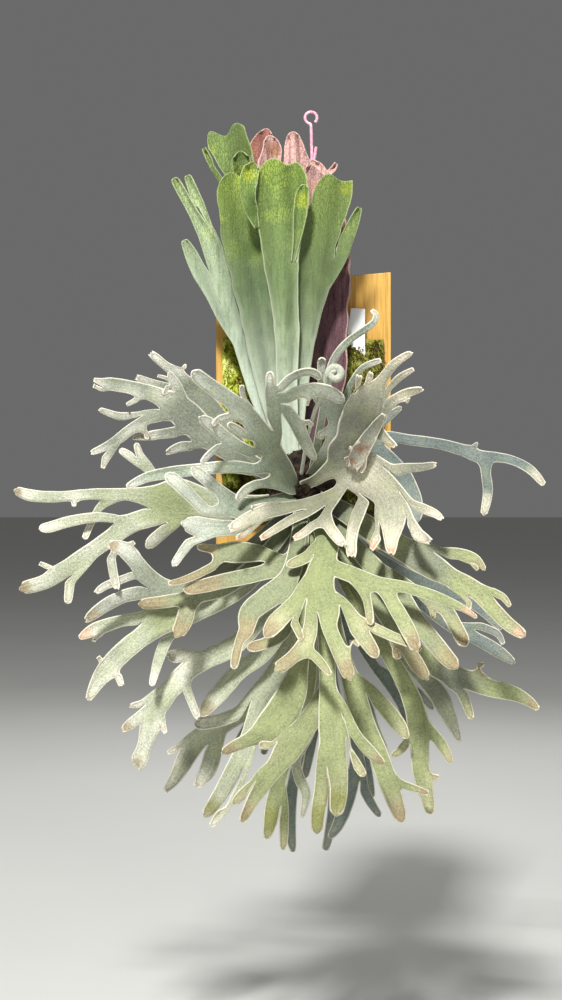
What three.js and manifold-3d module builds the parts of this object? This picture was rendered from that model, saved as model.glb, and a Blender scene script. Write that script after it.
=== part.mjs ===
// A staghorn fern mounted on a pine board, in millimetres, +Z up.
// The board's back is the XZ plane, its middle is the origin, and the plant faces -Y.
// Fronds were read by eye off a photograph, as points of a midline with the blade's width there.
import * as THREE from 'three';
import { mergeVertices } from 'three/addons/utils/BufferGeometryUtils.js';
import Module from 'manifold-3d';

const wasm = await Module();
wasm.setup();

// ---------- driving dimensions ----------
const BOARD_WIDTH = 150;
const BOARD_HEIGHT = 238;
const BOARD_THICKNESS = 19;
const BOARD_TOP_SLOPE = 13;
const PHOTO_BOARD_WIDTH = 175;
const PHOTO_BOARD_MIDDLE = { u: 303.5, v: 411 };
const PHOTO_CENTRE = { u: 281, v: 500 };
const CAMERA_DISTANCE = 1300;
const SEAT_GAP = 0.35;

const RHIZOME = { u: 305, v: 488, depth: 57, width: 68, thickness: 72, height: 68 };
const MOSS = { u: 303, v: 432, width: 143, height: 165, edge: 4, dome: 11, lumps: 1.6 };
const MOSS_CORNER = 0.42;
const MOSS_LUMP = { across: 5.1, bendAcross: 8, up: 6.3, bendUp: 7 };
const MOSS_COLUMNS = 18;
const MOSS_ROWS = 20;
const RHIZOME_SIDES = 24;
const RHIZOME_RINGS = 14;

const BLADE_THICKNESS = 0.95;
const SHIELD_THICKNESS = 1.1;
const TIP_LENGTH = 0.35;
const TIP_WIDTH = 0.5;
const FORK_CLEARANCE_PX = 1;

// Depth in front of the wall of the rearmost frond, at the bud, half way out and at the tip,
// and how much further forward the foremost frond lies at the same places.
const REACH_PX = 400;
const REAR_FROND = { root: 34, middle: 60, tip: 25 };
const FRONT_FROND = { root: 46, middle: 210, tip: 150 };
const WAVE = { height: 0.9, across: 17, along: 21, start: 90 };

// Shield fronds stand one in front of the other, from the bud up to the top of the plant.
const SHIELD_FOOT_V = 455;
const SHIELD_TOP_V = 130;
const SHIELD_FOOT = { depth: 42, spacing: 3.2 };
const SHIELD_TOP = { depth: 36, spacing: 9.5 };
const SHIELD_CUP = 3.5;
const SHIELD_COLUMNS = 2;

const WIRE_DIAMETER = 2.6;
const WIRE = { u: 311, topV: 124, depth: 9.5, bow: 1.2, hole: 12 };
const WIRE_EYE = { radius: 5.2, turn: 318, points: 10 };
const WIRE_STATIONS = [0, 0.1, 0.4, 0.7, 0.95];
const WIRE_TAIL = [[311.5, 176], [313, 165], [315, 156], [316, 147]];
const WIRE_STEPS = 60;
const TAIL_STEPS = 6;
const TUBE_SIDES = 8;

// ---------- from a place in the photograph to a place on the plant ----------
const SCALE_AT_BOARD = BOARD_WIDTH / PHOTO_BOARD_WIDTH;
const SCALE_AT_WALL = SCALE_AT_BOARD / (1 - BOARD_THICKNESS / CAMERA_DISTANCE);
const CENTRE_X = (PHOTO_CENTRE.u - PHOTO_BOARD_MIDDLE.u) * SCALE_AT_BOARD;
const CENTRE_Z = (PHOTO_BOARD_MIDDLE.v - PHOTO_CENTRE.v) * SCALE_AT_BOARD;

function scaleAt(depth) {
  return SCALE_AT_WALL * (1 - depth / CAMERA_DISTANCE);
}

function place(u, v, depth) {
  const scale = scaleAt(depth);
  const x = CENTRE_X + (u - PHOTO_CENTRE.u) * scale;
  const z = CENTRE_Z + (PHOTO_CENTRE.v - v) * scale;
  return new THREE.Vector3(x, -depth, z);
}

// ---------- fronds: [u, v, width] in photograph pixels, then a step forward in mm ----------
// A branch's name is the way to it: "2l" leaves the left side of the midline's stretch 2,
// counted from 0, and "2l1r" leaves the right side of stretch 1 of that branch.
const FERTILE_FRONDS = {
  low_back_finger: {
    '': [[311, 512, 12], [322, 600, 12], [333, 690, 12], [336, 760, 12], [333, 810, 11], [329, 835, 9],
      [326, 848, 7]],
  },
  low_dark_finger: {
    '': [[307, 512, 12], [312, 600, 12], [310, 690, 12], [300, 750, 12], [292, 790, 12], [290, 825, 12],
      [293, 850, 6]],
  },
  low_left_tips: {
    '': [[304, 510, 12], [308, 590, 14], [290, 660, 16], [255, 705, 18], [222, 725, 18], [200, 738, 20],
      [187, 756, 19], [177, 775, 14], [167, 789, 7]],
    '5r': [[180, 747, 8], [169, 752, 5]],
    '4l': [[214, 750, 17], [208, 770, 17], [198, 784, 9]],
  },
  low_right_shaded: {
    '': [[313, 510, 12], [330, 590, 12], [345, 660, 14], [355, 720, 14], [357, 755, 14], [353, 780, 14],
      [346, 803, 15], [338, 825, 12], [331, 836, 7]],
    '4l': [[364, 790, 10], [372, 805, 9], [379, 815, 6]],
  },
  left_upper_shaded: {
    '': [[295, 492, 10], [268, 478, 14], [246, 458, 18], [228, 432, 24], [212, 407, 27], [195, 388, 24],
      [180, 376, 16], [164, 365, 10], [152, 355, 8]],
    '5l': [[166, 387, 10], [150, 383, 9], [138, 378, 8, 3]],
    '6r': [[181, 369, 6], [184, 366, 4]],
  },
  right_long: {
    '': [[312, 484, 12], [335, 462, 14], [360, 446, 14], [385, 437, 12], [410, 440, 11], [440, 444, 11],
      [462, 450, 12], [478, 456, 13], [495, 457, 10], [512, 460, 9], [530, 469, 9], [543, 483, 6]],
    '7r': [[486, 474, 10], [488, 492, 10], [484, 513, 7]],
    '6l': [[474, 447, 6], [477, 443, 3]],
    '2l': [[380, 424, 10], [391, 415, 8], [400, 408, 5]],
    '2r': [[386, 456, 16], [402, 475, 18], [413, 498, 18], [416, 518, 12]],
  },
  low_middle_tips: {
    '': [[306, 510, 12], [310, 590, 14], [312, 660, 14], [300, 720, 14], [286, 758, 14], [279, 782, 14],
      [273, 805, 16], [270, 824, 13], [267, 836, 8]],
    '5l': [[284, 812, 10], [284, 835, 9], [283, 848, 6]],
  },
  low_left_hanging: {
    '': [[304, 508, 12], [303, 580, 14], [292, 640, 18], [272, 680, 22], [262, 705, 24], [250, 735, 18],
      [236, 765, 17], [220, 795, 16], [206, 815, 9]],
    '3r': [[238, 714, 13], [218, 721, 13], [199, 724, 12]],
    '5l': [[238, 785, 12], [225, 808, 11], [212, 825, 6]],
  },
  right_dark: {
    '': [[316, 496, 12], [370, 555, 14], [425, 605, 14], [455, 628, 14], [475, 638, 13], [496, 650, 13],
      [513, 662, 7]],
    '3l': [[480, 626, 8], [498, 634, 7], [503, 643, 4]],
  },
  left_crest: {
    '': [[298, 488, 12], [275, 475, 16], [250, 463, 20], [228, 450, 26], [208, 438, 34], [190, 422, 38],
      [172, 408, 34], [150, 397, 18], [132, 389, 16], [112, 384, 16], [103, 382, 8], [95, 380, 4]],
    '5r': [[180, 398, 13], [176, 384, 10], [170, 374, 6]],
    '5r0l': [[168, 387, 4], [162, 387, 3]],
    '5r1l': [[166, 379, 4], [158, 376, 3]],
    '7l': [[134, 401, 6], [127, 405, 4]],
    '9l': [[102, 388, 7], [95, 386, 4]],
    '5l': [[158, 419, 14], [142, 424, 12], [128, 436, 11], [115, 446, 10], [103, 449, 8], [92, 452, 5]],
    '5l3l': [[105, 458, 9], [102, 467, 4]],
    '5l1l': [[146, 434, 7], [147, 438, 5]],
    '5l0r': [[133, 417, 8, -3], [115, 416, 8, -4], [100, 410, 5, -4]],
    '4l': [[178, 435, 12], [164, 436, 10, -2], [148, 437, 9, -4], [133, 439, 4, -5]],
    '3l': [[205, 452, 12], [192, 451, 12], [178, 448, 8], [168, 452, 6]],
  },
  low_left_pale: {
    '': [[303, 508, 12], [298, 570, 14], [285, 620, 16], [262, 655, 18], [240, 670, 18], [224, 688, 18],
      [210, 704, 16], [203, 713, 10]],
  },
  low_small_tips: {
    '': [[308, 512, 12], [318, 600, 12], [322, 680, 12], [308, 735, 12], [296, 760, 10], [300, 780, 11],
      [306, 793, 10], [304, 808, 7], [302, 816, 5]],
  },
  right_low_back: {
    '': [[312, 504, 12], [345, 570, 14], [390, 640, 16], [425, 678, 17], [440, 697, 20], [449, 716, 16],
      [456, 732, 9], [459, 740, 5]],
  },
  left_long: {
    '': [[300, 496, 12], [270, 502, 16], [240, 506, 24], [212, 505, 30], [188, 500, 38], [168, 500, 44],
      [152, 497, 24], [125, 494, 12], [96, 494, 11], [80, 495, 11], [70, 496, 11], [50, 497, 12],
      [28, 495, 12], [17, 491, 9]],
    '4r': [[158, 480, 14], [147, 466, 12], [139, 452, 9], [137, 442, 7]],
    '4r1l': [[131, 457, 9], [122, 451, 7]],
    '5l': [[147, 518, 20], [132, 523, 20], [112, 537, 17], [92, 551, 17], [67, 568, 17], [45, 582, 15],
      [24, 588, 13]],
    '5l1r': [[116, 519, 9], [98, 517, 10], [67, 522, 11], [50, 527, 11], [42, 528, 8]],
    '5l4r': [[52, 569, 6], [41, 564, 4]],
    '5l3l': [[70, 582, 10], [69, 592, 9], [68, 601, 7]],
    '7l': [[99, 508, 8, -4], [92, 521, 7, -6], [85, 537, 6, -6]],
    '9l': [[74, 502, 7], [74, 505, 4]],
    '4l': [[167, 529, 12], [155, 539, 13], [149, 545, 10]],
  },
  left_low: {
    '': [[303, 506, 12], [290, 560, 14], [265, 610, 18], [235, 645, 20], [205, 660, 20], [186, 672, 20],
      [170, 690, 22], [157, 712, 22], [150, 732, 18], [145, 748, 16], [139, 761, 14]],
    '6r': [[142, 704, 8], [132, 706, 5]],
    '7r': [[138, 720, 12], [125, 728, 7]],
    '7l': [[163, 728, 7], [165, 732, 4]],
    '4r': [[182, 655, 15], [174, 656, 14]],
    '5l': [[187, 690, 9], [192, 703, 8], [197, 715, 7]],
  },
  right_hanging: {
    '': [[310, 504, 12], [335, 560, 14], [362, 610, 16], [385, 650, 14], [400, 674, 17], [412, 700, 20],
      [418, 722, 22], [420, 745, 19], [421, 770, 18], [426, 792, 15], [430, 810, 11]],
    '6l': [[438, 739, 12], [446, 752, 10], [450, 761, 7]],
    '8l': [[434, 777, 6], [438, 777, 4]],
    '6r': [[408, 742, 9], [399, 752, 8], [393, 755, 6]],
  },
  right_low: {
    '': [[314, 500, 12], [350, 550, 16], [390, 612, 18], [420, 655, 20], [446, 672, 22], [468, 680, 20],
      [490, 688, 18], [515, 694, 15], [530, 702, 10], [537, 708, 6]],
    '5l': [[478, 666, 7], [482, 664, 5]],
    '4r': [[462, 692, 11], [468, 708, 9], [471, 717, 6]],
  },
  left_low_forked: {
    '': [[302, 504, 12], [280, 545, 14], [245, 585, 18], [212, 602, 24], [185, 610, 32], [165, 617, 34],
      [148, 632, 22], [130, 646, 20], [113, 662, 20], [100, 678, 16], [89, 698, 7]],
    '5r': [[143, 618, 14], [121, 621, 12], [102, 627, 14], [90, 632, 12], [81, 637, 6]],
    '5r2l': [[95, 637, 7], [94, 640, 4]],
    '8r': [[102, 662, 6], [99, 658, 4]],
    '8l': [[118, 676, 8], [121, 684, 6]],
    '4l': [[168, 636, 12], [160, 655, 11], [155, 672, 9], [152, 684, 6]],
  },
  low_right_blade: {
    '': [[313, 506, 12], [325, 570, 14], [338, 640, 16], [348, 675, 18], [358, 700, 24], [370, 728, 26],
      [378, 752, 22], [385, 776, 20], [393, 798, 18], [401, 818, 12]],
    '7l': [[404, 785, 8], [416, 789, 7], [427, 793, 5]],
    '3l': [[372, 694, 14], [388, 712, 14], [403, 731, 9]],
  },
  low_left_blade: {
    '': [[305, 508, 12], [306, 570, 14], [304, 630, 16], [300, 662, 18], [293, 690, 30], [282, 713, 36],
      [266, 730, 30], [250, 739, 15], [235, 746, 12], [224, 752, 8]],
  },
  left_pale_crest: {
    '': [[300, 500, 12], [270, 530, 14], [230, 565, 16], [195, 588, 18], [170, 590, 20], [152, 580, 18],
      [136, 562, 16], [122, 548, 15], [113, 545, 11]],
    '6r': [[130, 545, 7], [133, 543, 4]],
    '7l': [[111, 558, 9], [113, 572, 9, 3], [116, 586, 7, 4]],
    '4l': [[145, 592, 14], [125, 596, 14], [105, 606, 13], [89, 618, 9]],
    '5l': [[134, 575, 8], [118, 581, 8], [105, 586, 8], [98, 591, 6]],
  },
  right_tan_finger: {
    '': [[312, 502, 12], [342, 545, 16], [372, 595, 18], [392, 625, 16], [406, 647, 15], [418, 666, 15],
      [426, 677, 10]],
    '3r': [[397, 648, 10], [397, 656, 9]],
  },
  low_middle_blade: {
    '': [[308, 508, 12], [315, 570, 14], [326, 640, 14], [328, 680, 14], [318, 706, 20], [303, 730, 24],
      [288, 750, 28], [275, 768, 20], [262, 786, 16], [250, 806, 11], [243, 820, 7]],
    '5r': [[272, 746, 9], [262, 745, 8]],
  },
  left_tan_finger: {
    '': [[302, 498, 12], [285, 530, 14], [255, 565, 16], [225, 588, 16], [200, 595, 15], [175, 600, 13],
      [155, 603, 13], [142, 604, 10]],
    '4l': [[187, 611, 17], [184, 622, 18], [178, 633, 13]],
  },
  low_middle_front: {
    '': [[311, 508, 12], [318, 570, 14], [326, 640, 16], [328, 690, 18], [330, 715, 24], [333, 740, 28],
      [337, 765, 22], [339, 790, 18], [337, 811, 14]],
    '5r': [[322, 790, 16], [318, 812, 14], [317, 830, 11]],
    '3l': [[346, 716, 12], [356, 735, 11], [370, 752, 12], [382, 763, 7]],
    '4l': [[346, 750, 11], [355, 762, 10], [363, 774, 8]],
  },
  right_paired_fingers: {
    '': [[312, 498, 12], [345, 535, 16], [378, 572, 20], [396, 592, 22], [414, 617, 18], [432, 640, 18],
      [446, 657, 17], [454, 665, 13]],
    '2l': [[425, 600, 14], [444, 608, 14], [455, 625, 14], [464, 642, 12]],
    '2l0r': [[433, 612, 7], [433, 617, 5]],
  },
  left_middle: {
    '': [[303, 494, 12], [300, 520, 16], [300, 545, 18], [290, 562, 20], [264, 572, 16], [243, 577, 16],
      [223, 581, 15], [203, 586, 14], [188, 589, 11]],
    '3r': [[262, 553, 16], [243, 552, 22], [226, 552, 20], [212, 549, 9], [200, 547, 7]],
    '3r2l': [[214, 566, 9, 1], [196, 575, 8, 4], [180, 581, 7, 5], [170, 583, 5, 5]],
  },
  middle_tan_fingers: {
    '': [[303, 500, 12], [298, 540, 16], [290, 575, 20], [268, 597, 24], [250, 612, 22], [246, 630, 16],
      [240, 640, 10], [236, 655, 9], [234, 666, 7]],
    '2l': [[290, 612, 12], [284, 632, 13], [266, 643, 12], [251, 647, 10]],
  },
  right_fork: {
    '': [[312, 494, 12], [345, 512, 20], [378, 534, 24], [405, 550, 26], [428, 564, 28], [450, 577, 20],
      [475, 590, 18], [492, 608, 15], [508, 624, 14], [522, 634, 10]],
    '3l': [[440, 553, 12], [460, 554, 12], [476, 559, 9], [484, 569, 5]],
    '3l1r': [[472, 562, 6], [477, 569, 4]],
    '6l': [[492, 592, 9], [503, 597, 7], [509, 605, 5]],
    '5r': [[469, 602, 6], [469, 608, 4]],
  },
  left_arched: {
    '': [[300, 494, 12], [280, 503, 20], [258, 510, 26], [240, 510, 28], [222, 497, 18], [207, 482, 14],
      [193, 471, 12]],
    '3l': [[208, 510, 12], [190, 493, 13], [176, 480, 15], [169, 477, 14]],
    '2l': [[238, 527, 16], [215, 528, 18], [196, 526, 20], [187, 524, 15]],
    '2l1l': [[190, 542, 10], [181, 554, 9], [174, 564, 7]],
  },
  inner_crest: {
    '': [[308, 482, 12], [322, 462, 16], [334, 444, 20], [338, 424, 20], [330, 408, 14], [318, 398, 11],
      [315, 387, 8]],
    '2l': [[325, 434, 10], [319, 436, 8]],
    '3r': [[350, 385, 6], [362, 368, 6], [379, 361, 5]],
  },
  centre_lower: {
    '': [[309, 492, 10], [315, 512, 18], [326, 545, 26], [326, 570, 34], [325, 592, 40], [326, 608, 38],
      [328, 626, 18], [338, 648, 17], [346, 668, 15], [349, 676, 12]],
    '2l': [[356, 571, 18], [380, 580, 20], [400, 584, 16], [422, 592, 13], [446, 601, 11], [464, 609, 7],
      [476, 617, 4]],
    '2l1r': [[392, 602, 15], [404, 624, 16, 2], [412, 640, 14, 4], [416, 648, 10, 4]],
    '2l0r': [[366, 597, 10], [369, 615, 9, 3], [370, 627, 8, 4]],
    '1r': [[307, 547, 11], [297, 555, 10], [288, 560, 9]],
    '3r': [[303, 594, 18], [290, 606, 19], [276, 620, 19], [267, 632, 14]],
    '3r1l': [[288, 621, 9], [291, 630, 6]],
    '4r': [[309, 618, 22], [305, 638, 18], [292, 656, 14], [277, 668, 13]],
    '4r1l': [[313, 652, 11], [322, 664, 9], [329, 673, 6]],
    '4l': [[345, 616, 17], [358, 630, 16], [371, 646, 14], [377, 653, 11]],
    '4l0l': [[372, 626, 12], [392, 636, 11], [410, 645, 8], [420, 650, 5]],
  },
  centre_left: {
    '': [[299, 489, 12], [291, 486, 22], [281, 470, 27], [271, 452, 26], [265, 436, 24], [252, 416, 20],
      [230, 399, 17], [208, 384, 15], [195, 374, 13]],
    '4r': [[273, 425, 19], [273, 413, 20], [274, 402, 18], [270, 388, 9], [270, 375, 8]],
    '4r0r': [[287, 417, 13], [297, 426, 15], [304, 438, 15], [311, 450, 12], [314, 457, 8]],
    '4r0r1l': [[306, 424, 6], [311, 423, 4]],
    '4r1r': [[287, 401, 12], [300, 393, 15], [316, 388, 16], [331, 393, 15], [340, 402, 10]],
    '4r2r': [[280, 389, 8], [291, 379, 9], [305, 372, 9], [318, 376, 8]],
    '5l': [[234, 413, 7], [225, 414, 6], [218, 416, 4]],
    '5r': [[243, 398, 6], [242, 387, 5]],
    '4l': [[249, 440, 9], [238, 432, 8], [229, 427, 6]],
    '3l': [[255, 456, 13], [240, 450, 12], [222, 436, 12], [207, 422, 10], [200, 418, 6]],
    '3l1l': [[217, 446, 8], [209, 455, 7], [203, 463, 5]],
    '2l': [[252, 471, 12], [235, 467, 13, -2], [203, 469, 12, -14], [170, 473, 12, -30],
      [148, 477, 10, -40], [129, 486, 6, -42]],
    '1l': [[258, 484, 10], [246, 492, 9], [238, 498, 7]],
  },
};

const BROWN_SHIELDS = {
  brown_shield_left: {
    '': [[290, 464, 16], [285, 420, 36], [280, 370, 44], [275, 310, 50], [270, 250, 52], [266, 200, 46],
      [264, 165, 34], [263, 145, 26], [266, 134, 14]],
  },
  brown_shield_right: {
    '': [[298, 464, 20], [305, 425, 44], [312, 385, 66], [312, 335, 72], [308, 285, 86], [304, 235, 92],
      [300, 195, 80], [297, 165, 30], [294, 146, 19], [293, 136, 11]],
    '6r': [[324, 174, 22], [320, 163, 14]],
    '6r0r': [[333, 170, 5], [336, 166, 3]],
    '6l': [[269, 165, 24], [272, 149, 18], [270, 140, 12]],
  },
};

const GREEN_SHIELDS = {
  shield_back_left: {
    '': [[285, 464, 14], [272, 420, 24], [262, 380, 30], [250, 320, 36], [242, 260, 40], [236, 210, 40],
      [231, 175, 42], [238, 150, 26], [240, 134, 19]],
    '6l': [[215, 150, 17], [213, 137, 13]],
    '5l': [[203, 176, 6], [202, 160, 5], [202, 150, 4]],
  },
  shield_left_fingers: {
    '': [[282, 464, 14], [268, 420, 18], [256, 385, 20], [243, 340, 22], [231, 300, 22], [217, 262, 20],
      [205, 230, 18], [193, 205, 12], [183, 188, 9], [177, 180, 7]],
    '6r': [[206, 208, 10], [197, 190, 9], [190, 178, 7]],
    '3l': [[215, 295, 18], [199, 271, 15], [190, 252, 12], [185, 242, 6]],
  },
  shield_left: {
    '': [[288, 464, 14], [277, 415, 24], [267, 370, 32], [257, 320, 38], [248, 270, 42], [238, 224, 38],
      [239, 213, 30], [236, 203, 32], [232, 188, 28], [232, 178, 17]],
  },
  shield_right: {
    '': [[296, 464, 14], [292, 415, 24], [296, 370, 28], [302, 325, 32], [309, 285, 42], [315, 250, 48],
      [322, 220, 42], [328, 200, 38], [331, 184, 34]],
    '4r': [[338, 256, 18], [347, 236, 14], [355, 218, 8], [359, 209, 4]],
    '7r': [[347, 181, 7], [350, 179, 4]],
  },
  shield_front: {
    '': [[292, 464, 14], [288, 420, 20], [287, 380, 20], [287, 335, 24], [284, 295, 28], [281, 258, 36],
      [279, 222, 52], [272, 195, 56], [268, 175, 42], [270, 164, 28]],
    '7r': [[297, 180, 18], [295, 169, 14]],
  },
};

// Fronds with a place of their own among the layers, from 0 at the back.
const PLACED_FRONDS = {
  centre_crest: {
    share: 1.11,
    branches: {
      '': [[301, 487, 10], [318, 479, 11], [335, 467, 24], [352, 464, 44], [366, 480, 50],
        [377, 502, 44], [386, 524, 30], [389, 540, 18], [392, 550, 10]],
      '2l': [[354, 440, 34], [364, 418, 36], [370, 400, 30], [380, 383, 13], [394, 364, 9], [409, 354, 6]],
      '2l1l': [[360, 392, 10], [359, 379, 7]],
      '2l2l': [[368, 386, 8], [370, 375, 6]],
      '2l1r': [[385, 408, 13], [396, 399, 10], [408, 393, 9], [420, 390, 5]],
      '2l1r1r': [[407, 397, 6], [407, 402, 4]],
      '2l2r': [[389, 388, 6], [399, 378, 7], [412, 370, 4]],
      '2l0r': [[380, 434, 12], [387, 440, 8], [393, 445, 6]],
      '3l': [[392, 474, 16], [408, 470, 11], [424, 467, 9], [434, 465, 6]],
      '3l1l': [[408, 461, 5], [410, 459, 4]],
      '3l2r': [[424, 473, 5], [425, 475, 4]],
      '4l': [[398, 498, 15], [418, 508, 11], [432, 513, 9], [439, 517, 6]],
      '4l2r': [[429, 518, 5], [429, 521, 4]],
      '5l': [[400, 519, 16], [413, 530, 14], [427, 540, 7]],
      '5l1l': [[424, 532, 6], [427, 528, 4]],
      '2r': [[333, 495, 22], [318, 501, 22], [300, 505, 18], [282, 508, 19], [262, 514, 16],
        [243, 523, 13], [231, 528, 9]],
      '2r3r': [[260, 506, 6], [253, 507, 4]],
      '2r4l': [[246, 533, 7], [239, 537, 5]],
      '2r1l': [[306, 514, 10], [290, 524, 10], [274, 533, 8], [263, 538, 7]],
      '2r0l': [[321, 518, 14], [328, 532, 13], [337, 542, 9]],
      '2r0l0r': [[308, 524, 8], [297, 532, 8], [292, 536, 6]],
      '4r': [[360, 506, 16], [354, 525, 15], [350, 545, 14], [347, 563, 11]],
      '5r': [[373, 529, 12], [373, 540, 11], [375, 547, 7]],
    },
  },
  curled: {
    share: 0.8,
    branches: {
      '': [[310, 486, 8], [318, 440, 8], [324, 405, 8], [330, 370, 8], [338, 353, 8], [350, 340, 7],
        [366, 329, 7], [375, 321, 6], [376, 314, 5], [373, 311, 4]],
      '2l': [[321, 380, 8], [322, 361, 8]],
    },
  },
};
const CROZIER = {
  share: 0.966, u: 335, v: 374, outer: 6, inner: 2.2, turns: 1.3, perTurn: 12, thickness: 2.5, steps: 70,
  stalk: [[300, 484, 0.87], [304, 455, 0.9], [308, 435, 0.935], [314, 412, 0.96], [323, 391, 0.966]],
};
const TAG = {
  depth: 27, thickness: 0.8,
  corners: [[351, 308], [365, 309], [365, 362], [352, 362], [347, 333]],
};

// ---------- a frond's pattern: rows of points across each branch, joined where they fork ----------
function branchRows(axis, steps) {
  const last = axis[axis.length - 1];
  const before = axis[axis.length - 2];
  const du = last[0] - before[0];
  const dv = last[1] - before[1];
  const reach = (TIP_LENGTH * last[2]) / Math.hypot(du, dv);
  const tip = [last[0] + du * reach, last[1] + dv * reach, last[2] * TIP_WIDTH, last[3] ?? 0];
  const stations = [...axis, tip];
  const curve = new THREE.CatmullRomCurve3(stations.map((s) => new THREE.Vector3(s[0], s[1], 0)));
  const spans = stations.length - 1;
  const rows = [];
  for (let row = 0; row <= spans * steps; row += 1) {
    const span = Math.min(Math.floor(row / steps), spans - 1);
    const part = row / steps - span;
    const centre = curve.getPoint(row / (spans * steps));
    const along = curve.getTangent(row / (spans * steps));
    const width = THREE.MathUtils.lerp(stations[span][2], stations[span + 1][2], part);
    const forward = THREE.MathUtils.lerp(stations[span][3] ?? 0, stations[span + 1][3] ?? 0, part);
    rows.push({ centre, along, width, forward });
  }
  return rows;
}

// The row that a branch grows from: the side of its parent between two of the parent's stations.
function baseOnParent(grown, name, columns) {
  const [, parentName, station, side] = name.match(/^(.*?)(\d+)([lr])$/);
  const parent = grown[parentName];
  const column = side === 'l' ? 0 : columns;
  const base = [];
  for (let step = 0; step <= columns; step += 1) {
    base.push(parent[Number(station) * columns + step][column]);
  }
  return side === 'l' ? base : base.reverse();
}

// A branch's first rows may not reach back over the side that it grows from.
function pushOffBase(points, base, rows) {
  const start = points[base[0]];
  const end = points[base[base.length - 1]];
  const length = Math.hypot(end.u - start.u, end.v - start.v);
  const out = { u: (end.v - start.v) / length, v: (start.u - end.u) / length };
  for (const index of rows.flat()) {
    const point = points[index];
    const beyond = (point.u - start.u) * out.u + (point.v - start.v) * out.v;
    const push = Math.max(FORK_CLEARANCE_PX - beyond, 0);
    point.u += out.u * push;
    point.v += out.v * push;
  }
}

// Twice the area of three points of the pattern, above 0 where they face the viewer.
function facing(points, a, b, c) {
  const [first, second, third] = [points[a], points[b], points[c]];
  return (third.u - first.u) * (second.v - first.v) - (third.v - first.v) * (second.u - first.u);
}

// The quad, starting at the corner from which both of its triangles face the viewer.
function flatQuad(points, [a, b, c, d]) {
  const isFolded = Math.min(facing(points, a, b, c), facing(points, a, c, d)) <= 0;
  return isFolded ? [b, c, d, a] : [a, b, c, d];
}

function frondPattern(branches, columns) {
  const points = [];
  const quads = [];
  const grown = {};
  const names = Object.keys(branches).sort((a, b) => a.length - b.length);
  for (const name of names) {
    const rows = branchRows(branches[name], columns).map((row) => {
      const indices = [];
      for (let column = 0; column <= columns; column += 1) {
        const across = (2 * column) / columns - 1;
        const half = (row.width / 2) * across;
        const u = row.centre.x - row.along.y * half;
        const v = row.centre.y + row.along.x * half;
        indices.push(points.length);
        points.push({ u, v, across, forward: row.forward });
      }
      return indices;
    });
    grown[name] = rows;
    const ladder = [...rows];
    if (name !== '') {
      ladder.unshift(baseOnParent(grown, name, columns));
      pushOffBase(points, ladder[0], rows.slice(0, columns + 1));
    }
    for (let row = 0; row + 1 < ladder.length; row += 1) {
      const [here, next] = [ladder[row], ladder[row + 1]];
      for (let column = 0; column < columns; column += 1) {
        quads.push(flatQuad(points, [here[column], here[column + 1], next[column + 1], next[column]]));
      }
    }
  }
  return { points, quads };
}

// ---------- depth of a point of the pattern in front of the wall ----------
function bezier(ends, q) {
  return ends.root * (1 - q) ** 2 + 2 * ends.middle * q * (1 - q) + ends.tip * q ** 2;
}

function fertileDepth(share) {
  return (point) => {
    const away = Math.hypot(point.u - RHIZOME.u, point.v - RHIZOME.v);
    const q = Math.min(away / REACH_PX, 1);
    const ripple = Math.sin(point.u / WAVE.across) * Math.sin(point.v / WAVE.along);
    const wave = WAVE.height * ripple * Math.min(away / WAVE.start, 1);
    return bezier(REAR_FROND, q) + share * bezier(FRONT_FROND, q) + wave + point.forward;
  };
}

function shieldDepth(layer) {
  return (point) => {
    const rise = THREE.MathUtils.clamp((SHIELD_FOOT_V - point.v) / (SHIELD_FOOT_V - SHIELD_TOP_V), 0, 1);
    const foot = SHIELD_FOOT.depth + SHIELD_FOOT.spacing * layer;
    const top = SHIELD_TOP.depth + SHIELD_TOP.spacing * layer;
    return foot + (top - foot) * rise + SHIELD_CUP * point.across ** 2 * rise;
  };
}

// ---------- closed solids ----------
function closedGeometry(positions, triangles) {
  const geometry = new THREE.BufferGeometry();
  geometry.setAttribute('position', new THREE.Float32BufferAttribute(positions, 3));
  geometry.setIndex(triangles);
  return geometry;
}

// A slab between two sheets of points with the same triangles, and a wall round their open edges.
function slabGeometry(front, back, quads) {
  const positions = [...front, ...back].flatMap((point) => point.toArray());
  const behind = front.length;
  const triangles = [];
  const edges = new Map();
  for (const [a, b, c, d] of quads) {
    triangles.push(a, b, c, a, c, d);
    triangles.push(behind + a, behind + c, behind + b, behind + a, behind + d, behind + c);
    for (const [from, to] of [[a, b], [b, c], [c, d], [d, a]]) {
      if (!edges.delete(`${to} ${from}`)) edges.set(`${from} ${to}`, [from, to]);
    }
  }
  for (const [from, to] of edges.values()) {
    triangles.push(from, behind + from, behind + to, from, behind + to, to);
  }
  return closedGeometry(positions, triangles);
}

function frondSolid(branches, columns, depth, thickness) {
  const { points, quads } = frondPattern(branches, columns);
  const front = points.map((point) => place(point.u, point.v, depth(point)));
  const back = points.map((point) => place(point.u, point.v, depth(point) - thickness));
  return toSolid(slabGeometry(front, back, quads));
}

function toSolid(geometry) {
  const bare = geometry.clone();
  bare.deleteAttribute('normal');
  bare.deleteAttribute('uv');
  const merged = mergeVertices(bare, 1e-4);
  const mesh = new wasm.Mesh({
    numProp: 3,
    vertProperties: Float32Array.from(merged.attributes.position.array),
    triVerts: Uint32Array.from(merged.index.array),
  });
  return new wasm.Manifold(mesh);
}

function toGeometry(solid) {
  const mesh = solid.getMesh();
  return closedGeometry(Array.from(mesh.vertProperties), Array.from(mesh.triVerts));
}

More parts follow.
